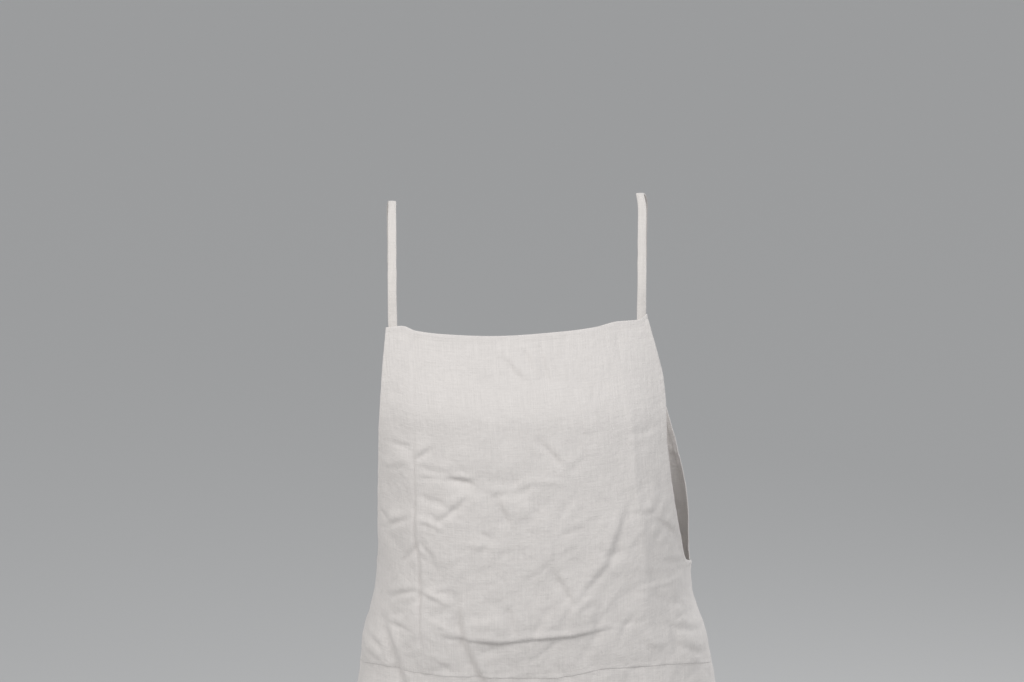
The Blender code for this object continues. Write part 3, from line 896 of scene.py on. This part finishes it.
def sewn_rise(points, borders):
    """Thickness of the cloth at each point, and how far its sewing moves it outwards."""
    turned = np.zeros(points.shape[:2])
    rise = np.full(points.shape[:2], -CLOTH / 2)
    nearest = np.full(points.shape[:2], np.inf)
    pucker = PUCKER * noise(points, PUCKER_SPACING, PUCKER_SEED)
    for distance, kind, width in borders:
        nearest = np.minimum(nearest, distance)
        if kind == "tucked":
            rise -= LAP_DEPTH * (1 - soft_step((distance - LAP_TUCK) / LAP_RECOVERY))
            rise -= LAP_TUCK_DEPTH * np.clip(1 - distance / LAP_TUCK, 0, 1)
            rise += pucker * np.exp(-np.abs(distance - LAP_TUCK) / PUCKER_REACH)
            continue
        if kind == "seam":
            rise += pucker * np.exp(-distance / PUCKER_REACH)
            rise -= SEAM_DIP * np.clip(1 - distance / SEAM_DIP_WIDTH, 0, 1) ** 2
            continue
        layers = LAP_LAYERS if kind == "lap" else 1.0
        turned = np.maximum(turned, layers * soft_step((width - distance) / TURNED_STEP + 0.5))
        rise -= STITCH_PULL * np.exp(-(((distance - width + STITCH_INSET) / STITCH_PULL_WIDTH) ** 2))
        if kind == "lap":
            rise += LAP_RISE * (1 - soft_step((distance - width) / LAP_RECOVERY))
            rise += pucker * np.exp(-distance / PUCKER_REACH)
        else:
            rise += HEM_PUCKER_SHARE * pucker * np.exp(-distance / PUCKER_REACH)
    roundness = np.sqrt(1 - (1 - np.clip(nearest / EDGE_ROUND, 0, 1)) ** 2)
    thickness = (CLOTH + (TURNED - CLOTH) * turned) * (EDGE_THINNEST + (1 - EDGE_THINNEST) * roundness)
    for distance, kind, _ in borders:
        if kind == "lap":
            thinner = thickness * (LAP_THINNEST + (1 - LAP_THINNEST) * soft_step(distance / LAP_THIN))
            rise += (thickness - thinner) / 2
            thickness = thinner
    return thickness, rise


# %% [markdown]
# ## From grid to cloth
#
# A plane with the right number of cells is added, its points are moved to their places, and a Solidify
# modifier gives it two faces. A vertex group tells Solidify how thick each point is, so the turned hems
# come out of the same modifier as the plain cloth. The UV map holds metres along the cut cloth, so the
# weave keeps its size and runs straight down the panel, as a cutter lays it.


# %% Helpers for one object
TUBE_MERGE = 0.00001


def select_only(thing):
    """Deselects everything, then selects one object and makes it active."""
    bpy.ops.object.select_all(action="DESELECT")
    thing.select_set(True)
    bpy.context.view_layer.objects.active = thing


def face_outwards(thing, merge=None):
    """Turns all faces outwards. With a merge distance, close points become one and holes are filled first."""
    select_only(thing)
    bpy.ops.object.mode_set(mode="EDIT")
    bpy.ops.mesh.select_all(action="SELECT")
    if merge:
        bpy.ops.mesh.remove_doubles(threshold=merge)
        bpy.ops.mesh.fill_holes(sides=0)
        bpy.ops.mesh.select_all(action="SELECT")
    bpy.ops.mesh.normals_make_consistent(inside=False)
    bpy.ops.object.mode_set(mode="OBJECT")


def add_cloth(name, places, flat, thickness, is_tube=False):
    """A sheet of cloth through rows of places, closed by Solidify. A tube's edge columns are merged."""
    rows, columns = places.shape[0] - 1, places.shape[1] - 1
    bpy.ops.object.select_all(action="DESELECT")
    bpy.ops.mesh.primitive_grid_add(x_subdivisions=columns, y_subdivisions=rows, size=1)
    cloth = bpy.context.object
    mesh = cloth.data
    cloth.name = mesh.name = name
    mesh.vertices.foreach_set("co", places[::-1].reshape(-1, 3).astype(np.float32).ravel())
    corner_points = np.empty(len(mesh.loops), np.int32)
    mesh.loops.foreach_get("vertex_index", corner_points)
    uv = flat[::-1].reshape(-1, 2)[corner_points]
    mesh.uv_layers.active.data.foreach_set("uv", uv.astype(np.float32).ravel())
    group = cloth.vertex_groups.new(name="layers")
    weights = (thickness / thickness.max())[::-1].ravel()
    for level in np.unique(np.round(weights, 3)):
        members = np.flatnonzero(np.round(weights, 3) == level)
        group.add(members.tolist(), float(level), "REPLACE")
    mesh.update()
    select_only(cloth)
    if is_tube:
        face_outwards(cloth, merge=TUBE_MERGE)
    wall = cloth.modifiers.new("wall", "SOLIDIFY")
    wall.thickness = float(thickness.max())
    wall.offset = 0.0
    wall.vertex_group = "layers"
    wall.thickness_vertex_group = 0.0
    bpy.ops.object.modifier_apply(modifier="wall")
    bpy.ops.object.shade_smooth()
    return cloth


Panel = namedtuple("Panel", "name side points borders places normals thickness flat_size flat_area")


def shape_panel(part, side, cut):
    """Works out a panel: its grid, its edges, and where every point of the cloth lies."""
    points = lay_grid(cut.surface(side), side, cut.columns, cut.rows, cut.bottom_steps)
    open_rows = int((points[:, 0, 2] > UNDERARM_HEIGHT).sum())
    borders = borders_of(points, cut.top, cut.bottom, open_rows)
    thickness, rise = sewn_rise(points, borders)
    from_left = running_length(points, 1)
    from_side = np.minimum(from_left, from_left[:, -1:] - from_left)
    side_fade = soft_step(from_side / FOLD_EDGE_FADE)
    rise = rise + lines_rise(points, lines_of[side]) * side_fade
    rise = rise + crumple_rise(points, side) * (SIDE_CRUMPLE + (1 - SIDE_CRUMPLE) * side_fade)
    from_top = running_length(points)
    if part == "bodice":
        above_seam = soft_step((from_top[-1:] - from_top) / FOLD_EDGE_FADE)
        rise = rise + FOLD_SHARE * folds_rise(points, side) * side_fade * above_seam
    normals = form_normals(points, side)
    width = from_left[:, -1].max()
    length = from_top[-1].max()
    lower, left = points[1:, :-1], points[:-1, :-1]
    area = np.linalg.norm(np.cross(points[:-1, 1:] - left, lower - left), axis=-1).sum()
    places = points + normals * rise[..., None]
    name = part + "_" + side
    return Panel(name, side, points, borders, places, normals, thickness, (width, length), area)


def cut_panel(panel):
    """Makes a panel's mesh. The back is laid out from +X, so that its faces also point outwards."""
    run = running_length(panel.points, 1)
    row_heights = panel.points[:, run.shape[1] // 2, 2]
    middle_x = (left_of(row_heights) + right_of(row_heights)) / 2
    row_x = panel.points[..., 0]
    middles = [np.interp(middle_x[row], row_x[row], run[row]) for row in range(len(run))]
    across = run - np.array(middles)[:, None]
    flat = np.stack([across, -running_length(panel.points)], axis=-1)
    order = slice(None) if panel.side == "front" else slice(None, None, -1)
    tables = [values[:, order] for values in (panel.places, flat, panel.thickness)]
    return add_cloth(panel.name + "_cloth", *tables)


# %% The four panels
Cut = namedtuple("Cut", "surface columns rows top bottom bottom_steps")
CUTS = {
    "bodice": Cut(bodice_surface, 206, 186, ("hem", NECK_HEM), ("lap", SEAM_LAP), EDGE_STEPS),
    "skirt": Cut(skirt_surface, 190, 186, ("tucked", 0.0), ("hem", SKIRT_HEM), HEM_STEPS),
}
lines_of = {
    "front": lines_through(FRONT_CREASES, FRONT_LONG_CREASES),
    "back": lines_through(BACK_CREASES, BACK_LONG_CREASES),
}
panels = {}
cloths = {}
for side, part in product(SIDES, CUTS):
    panel = shape_panel(part, side, CUTS[part])
    panels[panel.name] = panel
for name, panel in panels.items():
    cloths[name] = cut_panel(panel)
    print(name, len(cloths[name].data.polygons), "faces, flat", np.round(panel.flat_size, 3))

# %% [markdown]
# ## The straps
#
# Each strap is a strip folded into a flat tube and stitched along both edges. It runs from inside the
# front's hem, over the shoulder and down inside the back's. A curve with a bevel would twist over the
# crest, so the strap's middle and its sideways direction are worked out at every step, and a flat ring of
# points is laid round them. The front ends lie up to about a millimetre nearer +X than the rigid straps'
# ends, where the photo has them.

# %% The straps' way over the shoulders
HEM_INNER_FACE = (CLOTH + TURNED) / 2
STRAP_WIDTH = 0.0085
STRAP_THICKNESS = 0.0018
STRAP_CLEARANCE = 0.0003
STRAP_TUCK = 0.013
STRAP_HALF_SPAN = 0.1245
STRAP_CREST_TILT = 0.004
Station = namedtuple("Station", "depth height")
STRAP_ROUTE = table(Station, [
    (-70, -78), (-52, -40), (-28, -11.5), (0, 0), (30, -12), (58, -45), (74, -90), (77.5, -130),
])
STRAP_FRONT_X = {"left": -0.1224, "right": 0.1243}
STRAP_BACK_X = {"left": -0.1285, "right": 0.1310}
STRAP_STEPS = 20
STRAP_TUCK_STEPS = 6
STRAP_RING = 24
STRAP_SPREAD = 0.20
STRAP_SPREAD_REACH = 0.060
STRAP_END_PINCH = 0.004
STRAP_STITCH_PLACE = 0.66
STRAP_LEVELLING = 0.5
STRAP_SQUARENESS = 3.2
STRAP_GROOVE_WIDTH = 0.12
STRAP_GROOVE_DEPTH = 0.34
STRAP_WANDER = 0.05
STRAP_WANDER_LENGTH = 0.011
STRAP_WANDER_SEED = 31
STRAP_FULLNESS_WANDER = 0.12
STRAP_FULLNESS_LAG = 7
STRAP_END_SHARE = 0.25


def tucked_station(x, height, side):
    """Middle of a strap's outer face where it lies inside a panel, and its level sideways direction."""
    left, right = float(left_of(height)), float(right_of(height))
    reach = math.degrees(math.asin((x - (left + right) / 2) / ((right - left) / 2)))
    point = form_points(np.array(reach), np.array(height), side)
    normal = Vector(form_normals(point, side))
    sideways = Vector((0, 0, 1)).cross(normal).normalized()
    middle = Vector(point) - normal * (HEM_INNER_FACE + STRAP_CLEARANCE)
    return middle, -sideways if side == "back" else sideways


def strap_stations(which):
    """Middle and sideways direction of each step along a strap, from its front end to its back end."""
    front_x, back_x = STRAP_FRONT_X[which], STRAP_BACK_X[which]
    crest_x = -STRAP_HALF_SPAN if which == "left" else STRAP_HALF_SPAN
    crest_height = -STRAP_CREST_TILT if which == "left" else STRAP_CREST_TILT
    front_edge = float(smooth_line(NECKLINE["front"], "x", "height")(front_x))
    back_edge = float(smooth_line(NECKLINE["back"], "x", "height")(back_x))
    drops = [STRAP_TUCK * step / STRAP_TUCK_STEPS for step in range(STRAP_TUCK_STEPS + 1)]
    stations = [tucked_station(front_x, front_edge - drop, "front") for drop in reversed(drops)]
    back_end = [tucked_station(back_x, back_edge - drop, "back") for drop in drops]
    front_sideways, back_sideways = stations[-1][1], back_end[0][1]
    knots = [stations[0][0], stations[-1][0]]
    route_start = STRAP_ROUTE[0].depth
    route_run = STRAP_ROUTE[-1].depth - route_start
    for station in STRAP_ROUTE:
        turn = float(soft_step((station.depth - route_start) / route_run))
        x = crest_x if station.depth == 0 else front_x + (back_x - front_x) * turn
        knots.append(Vector((x, station.depth, station.height + crest_height)))
    knots += [back_end[0][0], back_end[-1][0]]
    free_spans = len(STRAP_ROUTE) + 1
    for span in range(free_spans):
        before, start, end, after = knots[span : span + 4]
        for step in range(1 if span == 0 else 0, STRAP_STEPS):
            t = step / STRAP_STEPS
            turn = float(soft_step((span + t) / free_spans))
            sideways = front_sideways.lerp(back_sideways, turn)
            calm = math.sin(math.pi * (span + t) / free_spans) ** STRAP_LEVELLING
            middle = through_points(before, start, end, after, t)
            stations.append((middle, sideways.lerp(Vector((1, 0, 0)), calm).normalized()))
    return stations + back_end


# %% Shape of a strap
Strap = namedtuple("Strap", "name middles sideways outward lengths")


def shape_strap(which):
    """A strap's frame at every step: the middle of its tube, its sideways and its outward direction."""
    stations = strap_stations(which)
    face = np.array([middle for middle, _ in stations])
    sideways = np.array([direction for _, direction in stations])
    forward = unit(np.gradient(face, axis=0))
    outward = unit(np.cross(sideways, forward))
    sideways = unit(np.cross(forward, outward))
    middles = face - outward * STRAP_THICKNESS / 2
    return Strap("strap_" + which, middles, sideways, outward, running_length(face))


def fold_strap(strap):
    """Lays a flat ring round each step: full at the folds and pressed in along the stitches."""
    turn = np.linspace(0, math.tau, STRAP_RING + 1)
    across, raised = (np.sign(w) * np.abs(w) ** (2 / STRAP_SQUARENESS) for w in (np.cos(turn), np.sin(turn)))
    across[-1], raised[-1] = across[0], raised[0]
    groove = np.exp(-(((np.abs(across) - STRAP_STITCH_PLACE) / STRAP_GROOVE_WIDTH) ** 2))
    way = np.stack([strap.lengths, strap.lengths * 0, strap.lengths * 0], -1)
    wander = noise(way, STRAP_WANDER_LENGTH, STRAP_WANDER_SEED)
    from_front = np.maximum(strap.lengths - STRAP_TUCK, 0)
    spread = 1 + STRAP_SPREAD * np.exp(-((from_front / STRAP_SPREAD_REACH) ** 2))
    width = STRAP_WIDTH / 2 * (1 - STRAP_WANDER + STRAP_WANDER * wander) * spread
    from_end = np.minimum(strap.lengths, strap.lengths[-1] - strap.lengths)
    pinch = STRAP_END_SHARE + (1 - STRAP_END_SHARE) * soft_step(from_end / STRAP_END_PINCH)
    fullness = 1 + STRAP_FULLNESS_WANDER * np.roll(wander, STRAP_FULLNESS_LAG)
    full = (STRAP_THICKNESS - CLOTH) / 2 * fullness * pinch
    side_step = (width - CLOTH / 2)[:, None] * across
    up_step = full[:, None] * raised * (1 - STRAP_GROOVE_DEPTH * groove)
    ring = strap.middles[:, None] + strap.sideways[:, None] * side_step[..., None]
    towards_panel = STRAP_THICKNESS / 2 * (1 - pinch)
    ring = ring + strap.outward[:, None] * (up_step + towards_panel[:, None])[..., None]
    around = np.linspace(0, 2 * STRAP_WIDTH + 2 * STRAP_THICKNESS, STRAP_RING + 1)
    flat = np.stack(np.broadcast_arrays(around[None, :], strap.lengths[:, None]), axis=-1)
    return ring, flat


def sew_strap(strap):
    """A strap as a tube of cloth."""
    ring, flat = fold_strap(strap)
    return add_cloth(strap.name + "_cloth", ring, flat, np.full(ring.shape[:2], CLOTH), is_tube=True)


straps = {"strap_" + which: shape_strap(which) for which in ("left", "right")}
for name, strap in straps.items():
    cloths[name] = sew_strap(strap)
    print(name, len(cloths[name].data.polygons), "faces,", round(strap.lengths[-1] * 1000), "mm long")

# %% [markdown]
# ## Stitches
#
# Topstitching shows as a dotted line: a stitch on top, a gap where the thread dives, and the next stitch.
# One stitch is modelled from a small ball, drawn out along its length and flattened, then copied along each
# line with numpy, because 1700 objects would be slow. Each copy sinks its two ends into the cloth.

# %% One stitch
STITCH_LENGTH = 0.0023
STITCH_PITCH = 0.0031
THREAD_THICKNESS = 0.00034
THREAD_SINK = THREAD_THICKNESS * 0.1
THREAD_FLATNESS = 0.9
STITCH_OFF_PITCH = 0.00008
STITCH_OFF_LINE = 0.00005
STITCH_OFF_WAY = 0.03
STITCH_OFF_LENGTH = 0.05


def model_stitch():
    """Points and faces of one stitch that lies along X, with its back up along Z."""
    bpy.ops.object.select_all(action="DESELECT")
    bpy.ops.mesh.primitive_uv_sphere_add(segments=6, ring_count=5, radius=THREAD_THICKNESS / 2)
    stitch = bpy.context.object
    bpy.ops.object.mode_set(mode="EDIT")
    bpy.ops.mesh.select_all(action="SELECT")
    bpy.ops.transform.rotate(value=math.pi / 2, orient_axis="Y", center_override=(0, 0, 0))
    stretch = (STITCH_LENGTH / THREAD_THICKNESS, 1, THREAD_FLATNESS)
    bpy.ops.transform.resize(value=stretch, center_override=(0, 0, 0))
    bpy.ops.object.mode_set(mode="OBJECT")
    points = np.array([vertex.co for vertex in stitch.data.vertices])
    faces = [list(polygon.vertices) for polygon in stitch.data.polygons]
    mesh = stitch.data
    bpy.data.objects.remove(stitch)
    bpy.data.meshes.remove(mesh)
    return points, faces


stitch_points, stitch_faces = model_stitch()
print("one stitch:", len(stitch_faces), "faces,", np.ptp(stitch_points, axis=0).round(5))


# %% Lines of stitches
JUST_INSIDE = 1.001


def sample(grid, row, column):
    """Values of a grid between its rows and columns."""
    row = np.clip(row, 0, grid.shape[0] - JUST_INSIDE)
    column = np.clip(column, 0, grid.shape[1] - JUST_INSIDE)
    r, c = np.floor(row).astype(int), np.floor(column).astype(int)
    fr, fc = (row - r)[..., None], (column - c)[..., None]
    upper = grid[r, c] * (1 - fc) + grid[r, c + 1] * fc
    lower = grid[r + 1, c] * (1 - fc) + grid[r + 1, c + 1] * fc
    return upper * (1 - fr) + lower * fr


def outer_line(panel, rows, columns):
    """Places and normals of the outer face along a line through the grid."""
    outer = panel.places + panel.normals * panel.thickness[..., None] / 2
    return sample(outer, rows, columns), sample(panel.normals, rows, columns)


def reached_at(distance, inset):
    """Where each row of distances reaches the inset, as a place between its columns."""
    order = slice(None, None, -1) if distance[0, 0] > distance[0, -1] else slice(None)
    columns = np.arange(distance.shape[1], dtype=float)[order]
    return np.array([np.interp(inset, row[order], columns) for row in distance])


def along_row(panel, border, inset):
    """Places and normals of the outer face at one distance from the top or bottom edge."""
    distance = panel.borders[border].distance
    return outer_line(panel, reached_at(distance.T, inset), np.arange(distance.shape[1], dtype=float))


def down_edge(panel, border, inset, first, last):
    """Places and normals of the outer face at one distance from a side edge, over some rows."""
    distance = panel.borders[border].distance[first:last]
    return outer_line(panel, np.arange(first, last, dtype=float), reached_at(distance, inset))


def stitch_line(line, normals, chance):
    """Stitches at an even pitch along a line, each a little off in place, length and turn."""
    run = running_length(line)
    count = int(run[-1] / STITCH_PITCH)
    middles = (np.arange(count) + 0.5) * run[-1] / count + chance.normal(0, STITCH_OFF_PITCH, count)
    half = STITCH_LENGTH / 2

    def at(distance, values):
        return np.stack([np.interp(distance, run, values[:, axis]) for axis in range(3)], axis=-1)

    middle = at(middles, line)
    forward = unit(at(middles + half, line) - at(middles - half, line))
    up = unit(at(middles, normals))
    aside = unit(np.cross(up, forward))
    forward = unit(forward + aside * chance.normal(0, STITCH_OFF_WAY, (count, 1)))
    up = unit(np.cross(forward, aside))
    middle = middle + aside * chance.normal(0, STITCH_OFF_LINE, (count, 1)) - up * THREAD_SINK
    stretch = chance.normal(1, STITCH_OFF_LENGTH, (count, 1, 1))
    return (
        middle[:, None]
        + forward[:, None] * stitch_points[:, :1] * stretch
        + aside[:, None] * stitch_points[:, 1:2]
        + up[:, None] * stitch_points[:, 2:]
    )


def sew(name, lines, seed):
    """One object of all the stitches along some lines."""
    chance = np.random.default_rng(seed)
    copies = np.concatenate([stitch_line(line, normals, chance) for line, normals in lines])
    points = copies.reshape(-1, 3)
    size = len(stitch_points)
    faces = [[p + size * copy for p in face] for copy in range(len(copies)) for face in stitch_faces]
    mesh = bpy.data.meshes.new(name)
    mesh.from_pydata(points.tolist(), [], faces)
    mesh.update()
    stitches = bpy.data.objects.new(name, mesh)
    bpy.context.scene.collection.objects.link(stitches)
    face_outwards(stitches)
    bpy.ops.object.shade_smooth()
    print(name, len(copies), "stitches")
    return stitches


# %% Stitches of the panels
TOP, BOTTOM, LEFT_HEM, LEFT_SEAM, RIGHT_HEM, RIGHT_SEAM = range(6)
ARM_FIRST_ROW = 2
ARM_END_ABOVE_UNDERARM = 0.001
PANEL_SEED = 41
STRAP_SEED = 51


def bodice_lines(panel):
    """Neckline, both armholes and the lap above the drop seam."""
    end = int((panel.points[:, 0, 2] > UNDERARM_HEIGHT + ARM_END_ABOVE_UNDERARM).sum())
    return [
        along_row(panel, TOP, NECK_HEM - STITCH_INSET),
        down_edge(panel, LEFT_HEM, ARM_HEM - STITCH_INSET, ARM_FIRST_ROW, end),
        down_edge(panel, RIGHT_HEM, ARM_HEM - STITCH_INSET, ARM_FIRST_ROW, end),
        along_row(panel, BOTTOM, SEAM_LAP - STITCH_INSET),
    ]


def skirt_lines(panel):
    """The hem's one row of stitches."""
    return [along_row(panel, BOTTOM, SKIRT_HEM - STITCH_INSET)]


stitches = {}
for seed, (name, panel) in enumerate(panels.items(), PANEL_SEED):
    lines = bodice_lines(panel) if name.startswith("bodice") else skirt_lines(panel)
    stitches[name] = sew(name + "_stitches", lines, seed)

# %% Stitches of the straps
STRAP_GROOVE_SHARE = 0.72


def strap_lines(strap):
    """Two rows along the strap's outer face."""
    lines = []
    for way in (-1, 1):
        aside = strap.sideways * way * STRAP_WIDTH / 2 * STRAP_STITCH_PLACE
        line = strap.middles + aside + strap.outward * STRAP_THICKNESS / 2 * STRAP_GROOVE_SHARE
        lines.append((line, strap.outward))
    return lines


for seed, (name, strap) in enumerate(straps.items(), STRAP_SEED):
    stitches[name] = sew(name + "_stitches", strap_lines(strap), seed)

# %% [markdown]
# ## Linen
#
# Linen yarn is uneven: it has thick places, called slubs, that show as short streaks along each thread in
# both directions. A printed texture would repeat, so the streaks are noise stretched along the threads, one
# for the warp and one for the weft. The plain weave itself is a product of sines on the same UV map. Both
# lift the surface through a Bump node, and the streaks also lighten and darken the yarn a little. The
# straps are the same linen, four layers deep, in a copy whose colour is a shade darker and a little yellower:
# the darkening is painted shade for the light that their upward tilt over the shoulders catches.


# %% Shader maths as Python
class Value:
    """One output of a material's nodes. Python's operators on it add Math nodes."""

    def __init__(self, tree, socket):
        self.tree = tree
        self.socket = socket

    def math(self, operation, *values):
        return add_node(self.tree, "ShaderNodeMath", {"operation": operation}, dict(enumerate(values)))

    def __add__(self, other):
        return self.math("ADD", self, other)

    def __sub__(self, other):
        return self.math("SUBTRACT", self, other)

    def __rsub__(self, other):
        return self.math("SUBTRACT", other, self)

    def __mul__(self, other):
        return self.math("MULTIPLY", self, other)

    __radd__ = __add__
    __rmul__ = __mul__

    def sin(self):
        return self.math("SINE", self)


def fill_inputs(tree, node, values):
    """Gives a node's inputs their values or links."""
    for name, value in values.items():
        if isinstance(value, Value):
            tree.links.new(value.socket, node.inputs[name])
        else:
            node.inputs[name].default_value = value


def add_node(tree, kind, settings, values, output=0):
    """Adds a node: first its settings, then the values or links of its inputs. Returns one output."""
    node = tree.nodes.new(kind)
    for name, setting in settings.items():
        setattr(node, name, setting)
    fill_inputs(tree, node, values)
    return Value(tree, node.outputs[output])


def add_noise(tree, vector, scale, detail):
    """Noise between 0 and 1, about 0.5 in the middle."""
    values = {"Vector": vector, "Scale": scale, "Detail": detail}
    return add_node(tree, "ShaderNodeTexNoise", {}, values, "Fac")


def tinted(tree, colour, tone):
    """A colour made lighter or darker by a tone that varies over the cloth."""
    values = {0: colour, "Scale": tone}
    return add_node(tree, "ShaderNodeVectorMath", {"operation": "SCALE"}, values, "Vector")


def new_material(name):
    """A new material, its tree of nodes and its shader."""
    material = bpy.data.materials.new(name)
    material.use_nodes = True
    tree = material.node_tree
    return material, tree, tree.nodes["Principled BSDF"]


# %% The linen material
LINEN_COLOUR = (0.600, 0.570, 0.550)
# Painted shade: the straps' colour is a shade darker than the cloth's, for the light their upward tilt
# catches; it is also a little yellower.
STRAP_PAINTED_SHADE_COLOUR = (0.578, 0.547, 0.522)
THREAD_COLOUR = (0.62, 0.59, 0.565)
THREAD_SPACING = 0.00078
THREAD_SWAY = 3.0
SLUB_LENGTH = 0.026
SLUB_WIDTH = 0.0011
BROAD_CLOUDS = 26.0
SMALL_CLOUDS = 190.0
WARP_TONE = 0.19
WEFT_TONE = 0.13
BROAD_TONE = 0.07
WEAVE_TONE = 0.02
WEAVE_LIFT = 0.00005
WARP_LIFT = 0.00040
WEFT_LIFT = 0.00026
SMALL_LIFT = 0.0009


def add_linen(name, colour):
    """Washed plain-weave linen: slubs, weave, a soft sheen and a matt face."""
    material, tree, shader = new_material(name)
    uv = add_node(tree, "ShaderNodeTexCoord", {}, {}, "UV")
    place = add_node(tree, "ShaderNodeTexCoord", {}, {}, "Object")

    def streaks(width, height):
        values = {0: uv, 1: (1 / width, 1 / height, 1.0)}
        stretched = add_node(tree, "ShaderNodeVectorMath", {"operation": "MULTIPLY"}, values, "Vector")
        return add_noise(tree, stretched, 1.0, 2.0)

    warp = streaks(SLUB_WIDTH, SLUB_LENGTH)
    weft = streaks(SLUB_LENGTH, SLUB_WIDTH)
    broad = add_noise(tree, place, BROAD_CLOUDS, 3.0)
    small = add_noise(tree, place, SMALL_CLOUDS, 4.0)
    u, v = (add_node(tree, "ShaderNodeSeparateXYZ", {}, {0: uv}, axis) for axis in "XY")
    turns = math.pi / THREAD_SPACING
    weave = (u * turns + warp * THREAD_SWAY).sin() * (v * turns + weft * THREAD_SWAY).sin()
    yarn = 1.0 + (warp - 0.5) * WARP_TONE + (weft - 0.5) * WEFT_TONE
    tone = yarn + (broad - 0.5) * BROAD_TONE + weave * WEAVE_TONE
    lift = weave * WEAVE_LIFT + warp * WARP_LIFT + weft * WEFT_LIFT + small * SMALL_LIFT
    relief = {"Strength": 0.8, "Distance": 1.0, "Height": lift}
    fill_inputs(tree, shader, {
        "Base Color": tinted(tree, colour, tone),
        "Roughness": 0.86 + (small - 0.5) * 0.12,
        "Normal": add_node(tree, "ShaderNodeBump", {}, relief, "Normal"),
        "Specular IOR Level": 0.25,
        "Sheen Weight": 0.12,
        "Sheen Roughness": 0.6,
    })
    return material


def add_thread(name, colour):
    """Sewing thread: fine twisted yarn, slightly brighter than the cloth."""
    material, tree, shader = new_material(name)
    place = add_node(tree, "ShaderNodeTexCoord", {}, {}, "Object")
    tone = 0.9 + add_noise(tree, place, 1400.0, 1.0) * 0.2
    fill_inputs(tree, shader, {"Base Color": tinted(tree, colour, tone), "Roughness": 0.6})
    return material


linen = add_linen("washed_linen", LINEN_COLOUR)
# The straps' material is the linen in its darker, painted-shade colour.
strap_linen_painted_shade = add_linen("strap_linen_painted_shade", STRAP_PAINTED_SHADE_COLOUR)
thread = add_thread("linen_thread", THREAD_COLOUR)
for name, cloth in cloths.items():
    cloth.data.materials.append(strap_linen_painted_shade if name in straps else linen)
for sewn in stitches.values():
    sewn.data.materials.append(thread)
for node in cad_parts.values():
    node.data.materials.clear()
    node.data.materials.append(linen)
print("materials:", linen.name, strap_linen_painted_shade.name, thread.name)

# %% [markdown]
# ## Attaching the pieces
#
# Every piece rides on the one body of the dress. Each piece of cloth takes its wall's place, and the wall is
# hidden.

# %% Ride and replace
for name, cloth in cloths.items():
    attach(cloth, "root")
    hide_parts(name)
    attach(stitches[name], "root")

# %% [markdown]
# ## Floor and light
#
# The dress is worn well above the ground, so the floor lies where a wearer would stand. A large plain plane
# is enough, and being pale it throws light back up. The main soft light stands in front and above, to the
# left, so that creases of every direction have a lit side. A weaker one at the right and the sky fill the
# rest, and one behind lights the back.

# %% Floor
FLOOR_HEIGHT = -1.35
FLOOR_SIZE = 90.0
FLOOR_COLOUR = (0.55, 0.55, 0.55, 1)


def add_floor():
    """A plain pale floor."""
    bpy.ops.object.select_all(action="DESELECT")
    bpy.ops.mesh.primitive_plane_add(size=FLOOR_SIZE, location=(0, 0, FLOOR_HEIGHT))
    floor = bpy.context.object
    floor.name = "floor"
    material, tree, shader = new_material("pale_floor")
    look = {"Base Color": FLOOR_COLOUR, "Roughness": 0.95, "Specular IOR Level": 0.1}
    fill_inputs(tree, shader, look)
    floor.data.materials.append(material)
    return floor


add_floor()

# %% Lights
Lamp = namedtuple("Lamp", "name place target size watts colour")
LAMPS = [
    Lamp("left", (-1.29, -1.64, 1.09), (0.0, -0.10, -0.22), 1.0, 30.0, (1.0, 0.99, 0.975)),
    Lamp("right", (1.30, -1.88, 1.16), (0.0, -0.10, -0.22), 1.0, 23.5, (0.965, 0.98, 1.0)),
    Lamp("behind", (1.7, 1.8, 1.2), (0.0, 0.0, -0.35), 1.0, 30.0, (1.0, 1.0, 1.0)),
]
SKY_STRENGTH = 0.60
SKY_COLOUR = (0.97, 0.985, 1.0, 1)


def add_lamp(lamp):
    """A square soft light that faces its target."""
    light = bpy.data.lights.new(lamp.name, "AREA")
    light.energy = lamp.watts
    light.size = lamp.size
    light.color = lamp.colour
    holder = bpy.data.objects.new(lamp.name, light)
    holder.location = lamp.place
    aim = Vector(lamp.target) - Vector(lamp.place)
    holder.rotation_euler = aim.to_track_quat("-Z", "Y").to_euler()
    bpy.context.scene.collection.objects.link(holder)


for lamp in LAMPS:
    add_lamp(lamp)

sky = bpy.data.worlds.new("sky")
sky.use_nodes = True
look = {"Color": SKY_COLOUR, "Strength": SKY_STRENGTH}
fill_inputs(sky.node_tree, sky.node_tree.nodes["Background"], look)
bpy.context.scene.world = sky
bpy.context.scene.view_settings.view_transform = "Standard"
print(len(LAMPS), "lights")
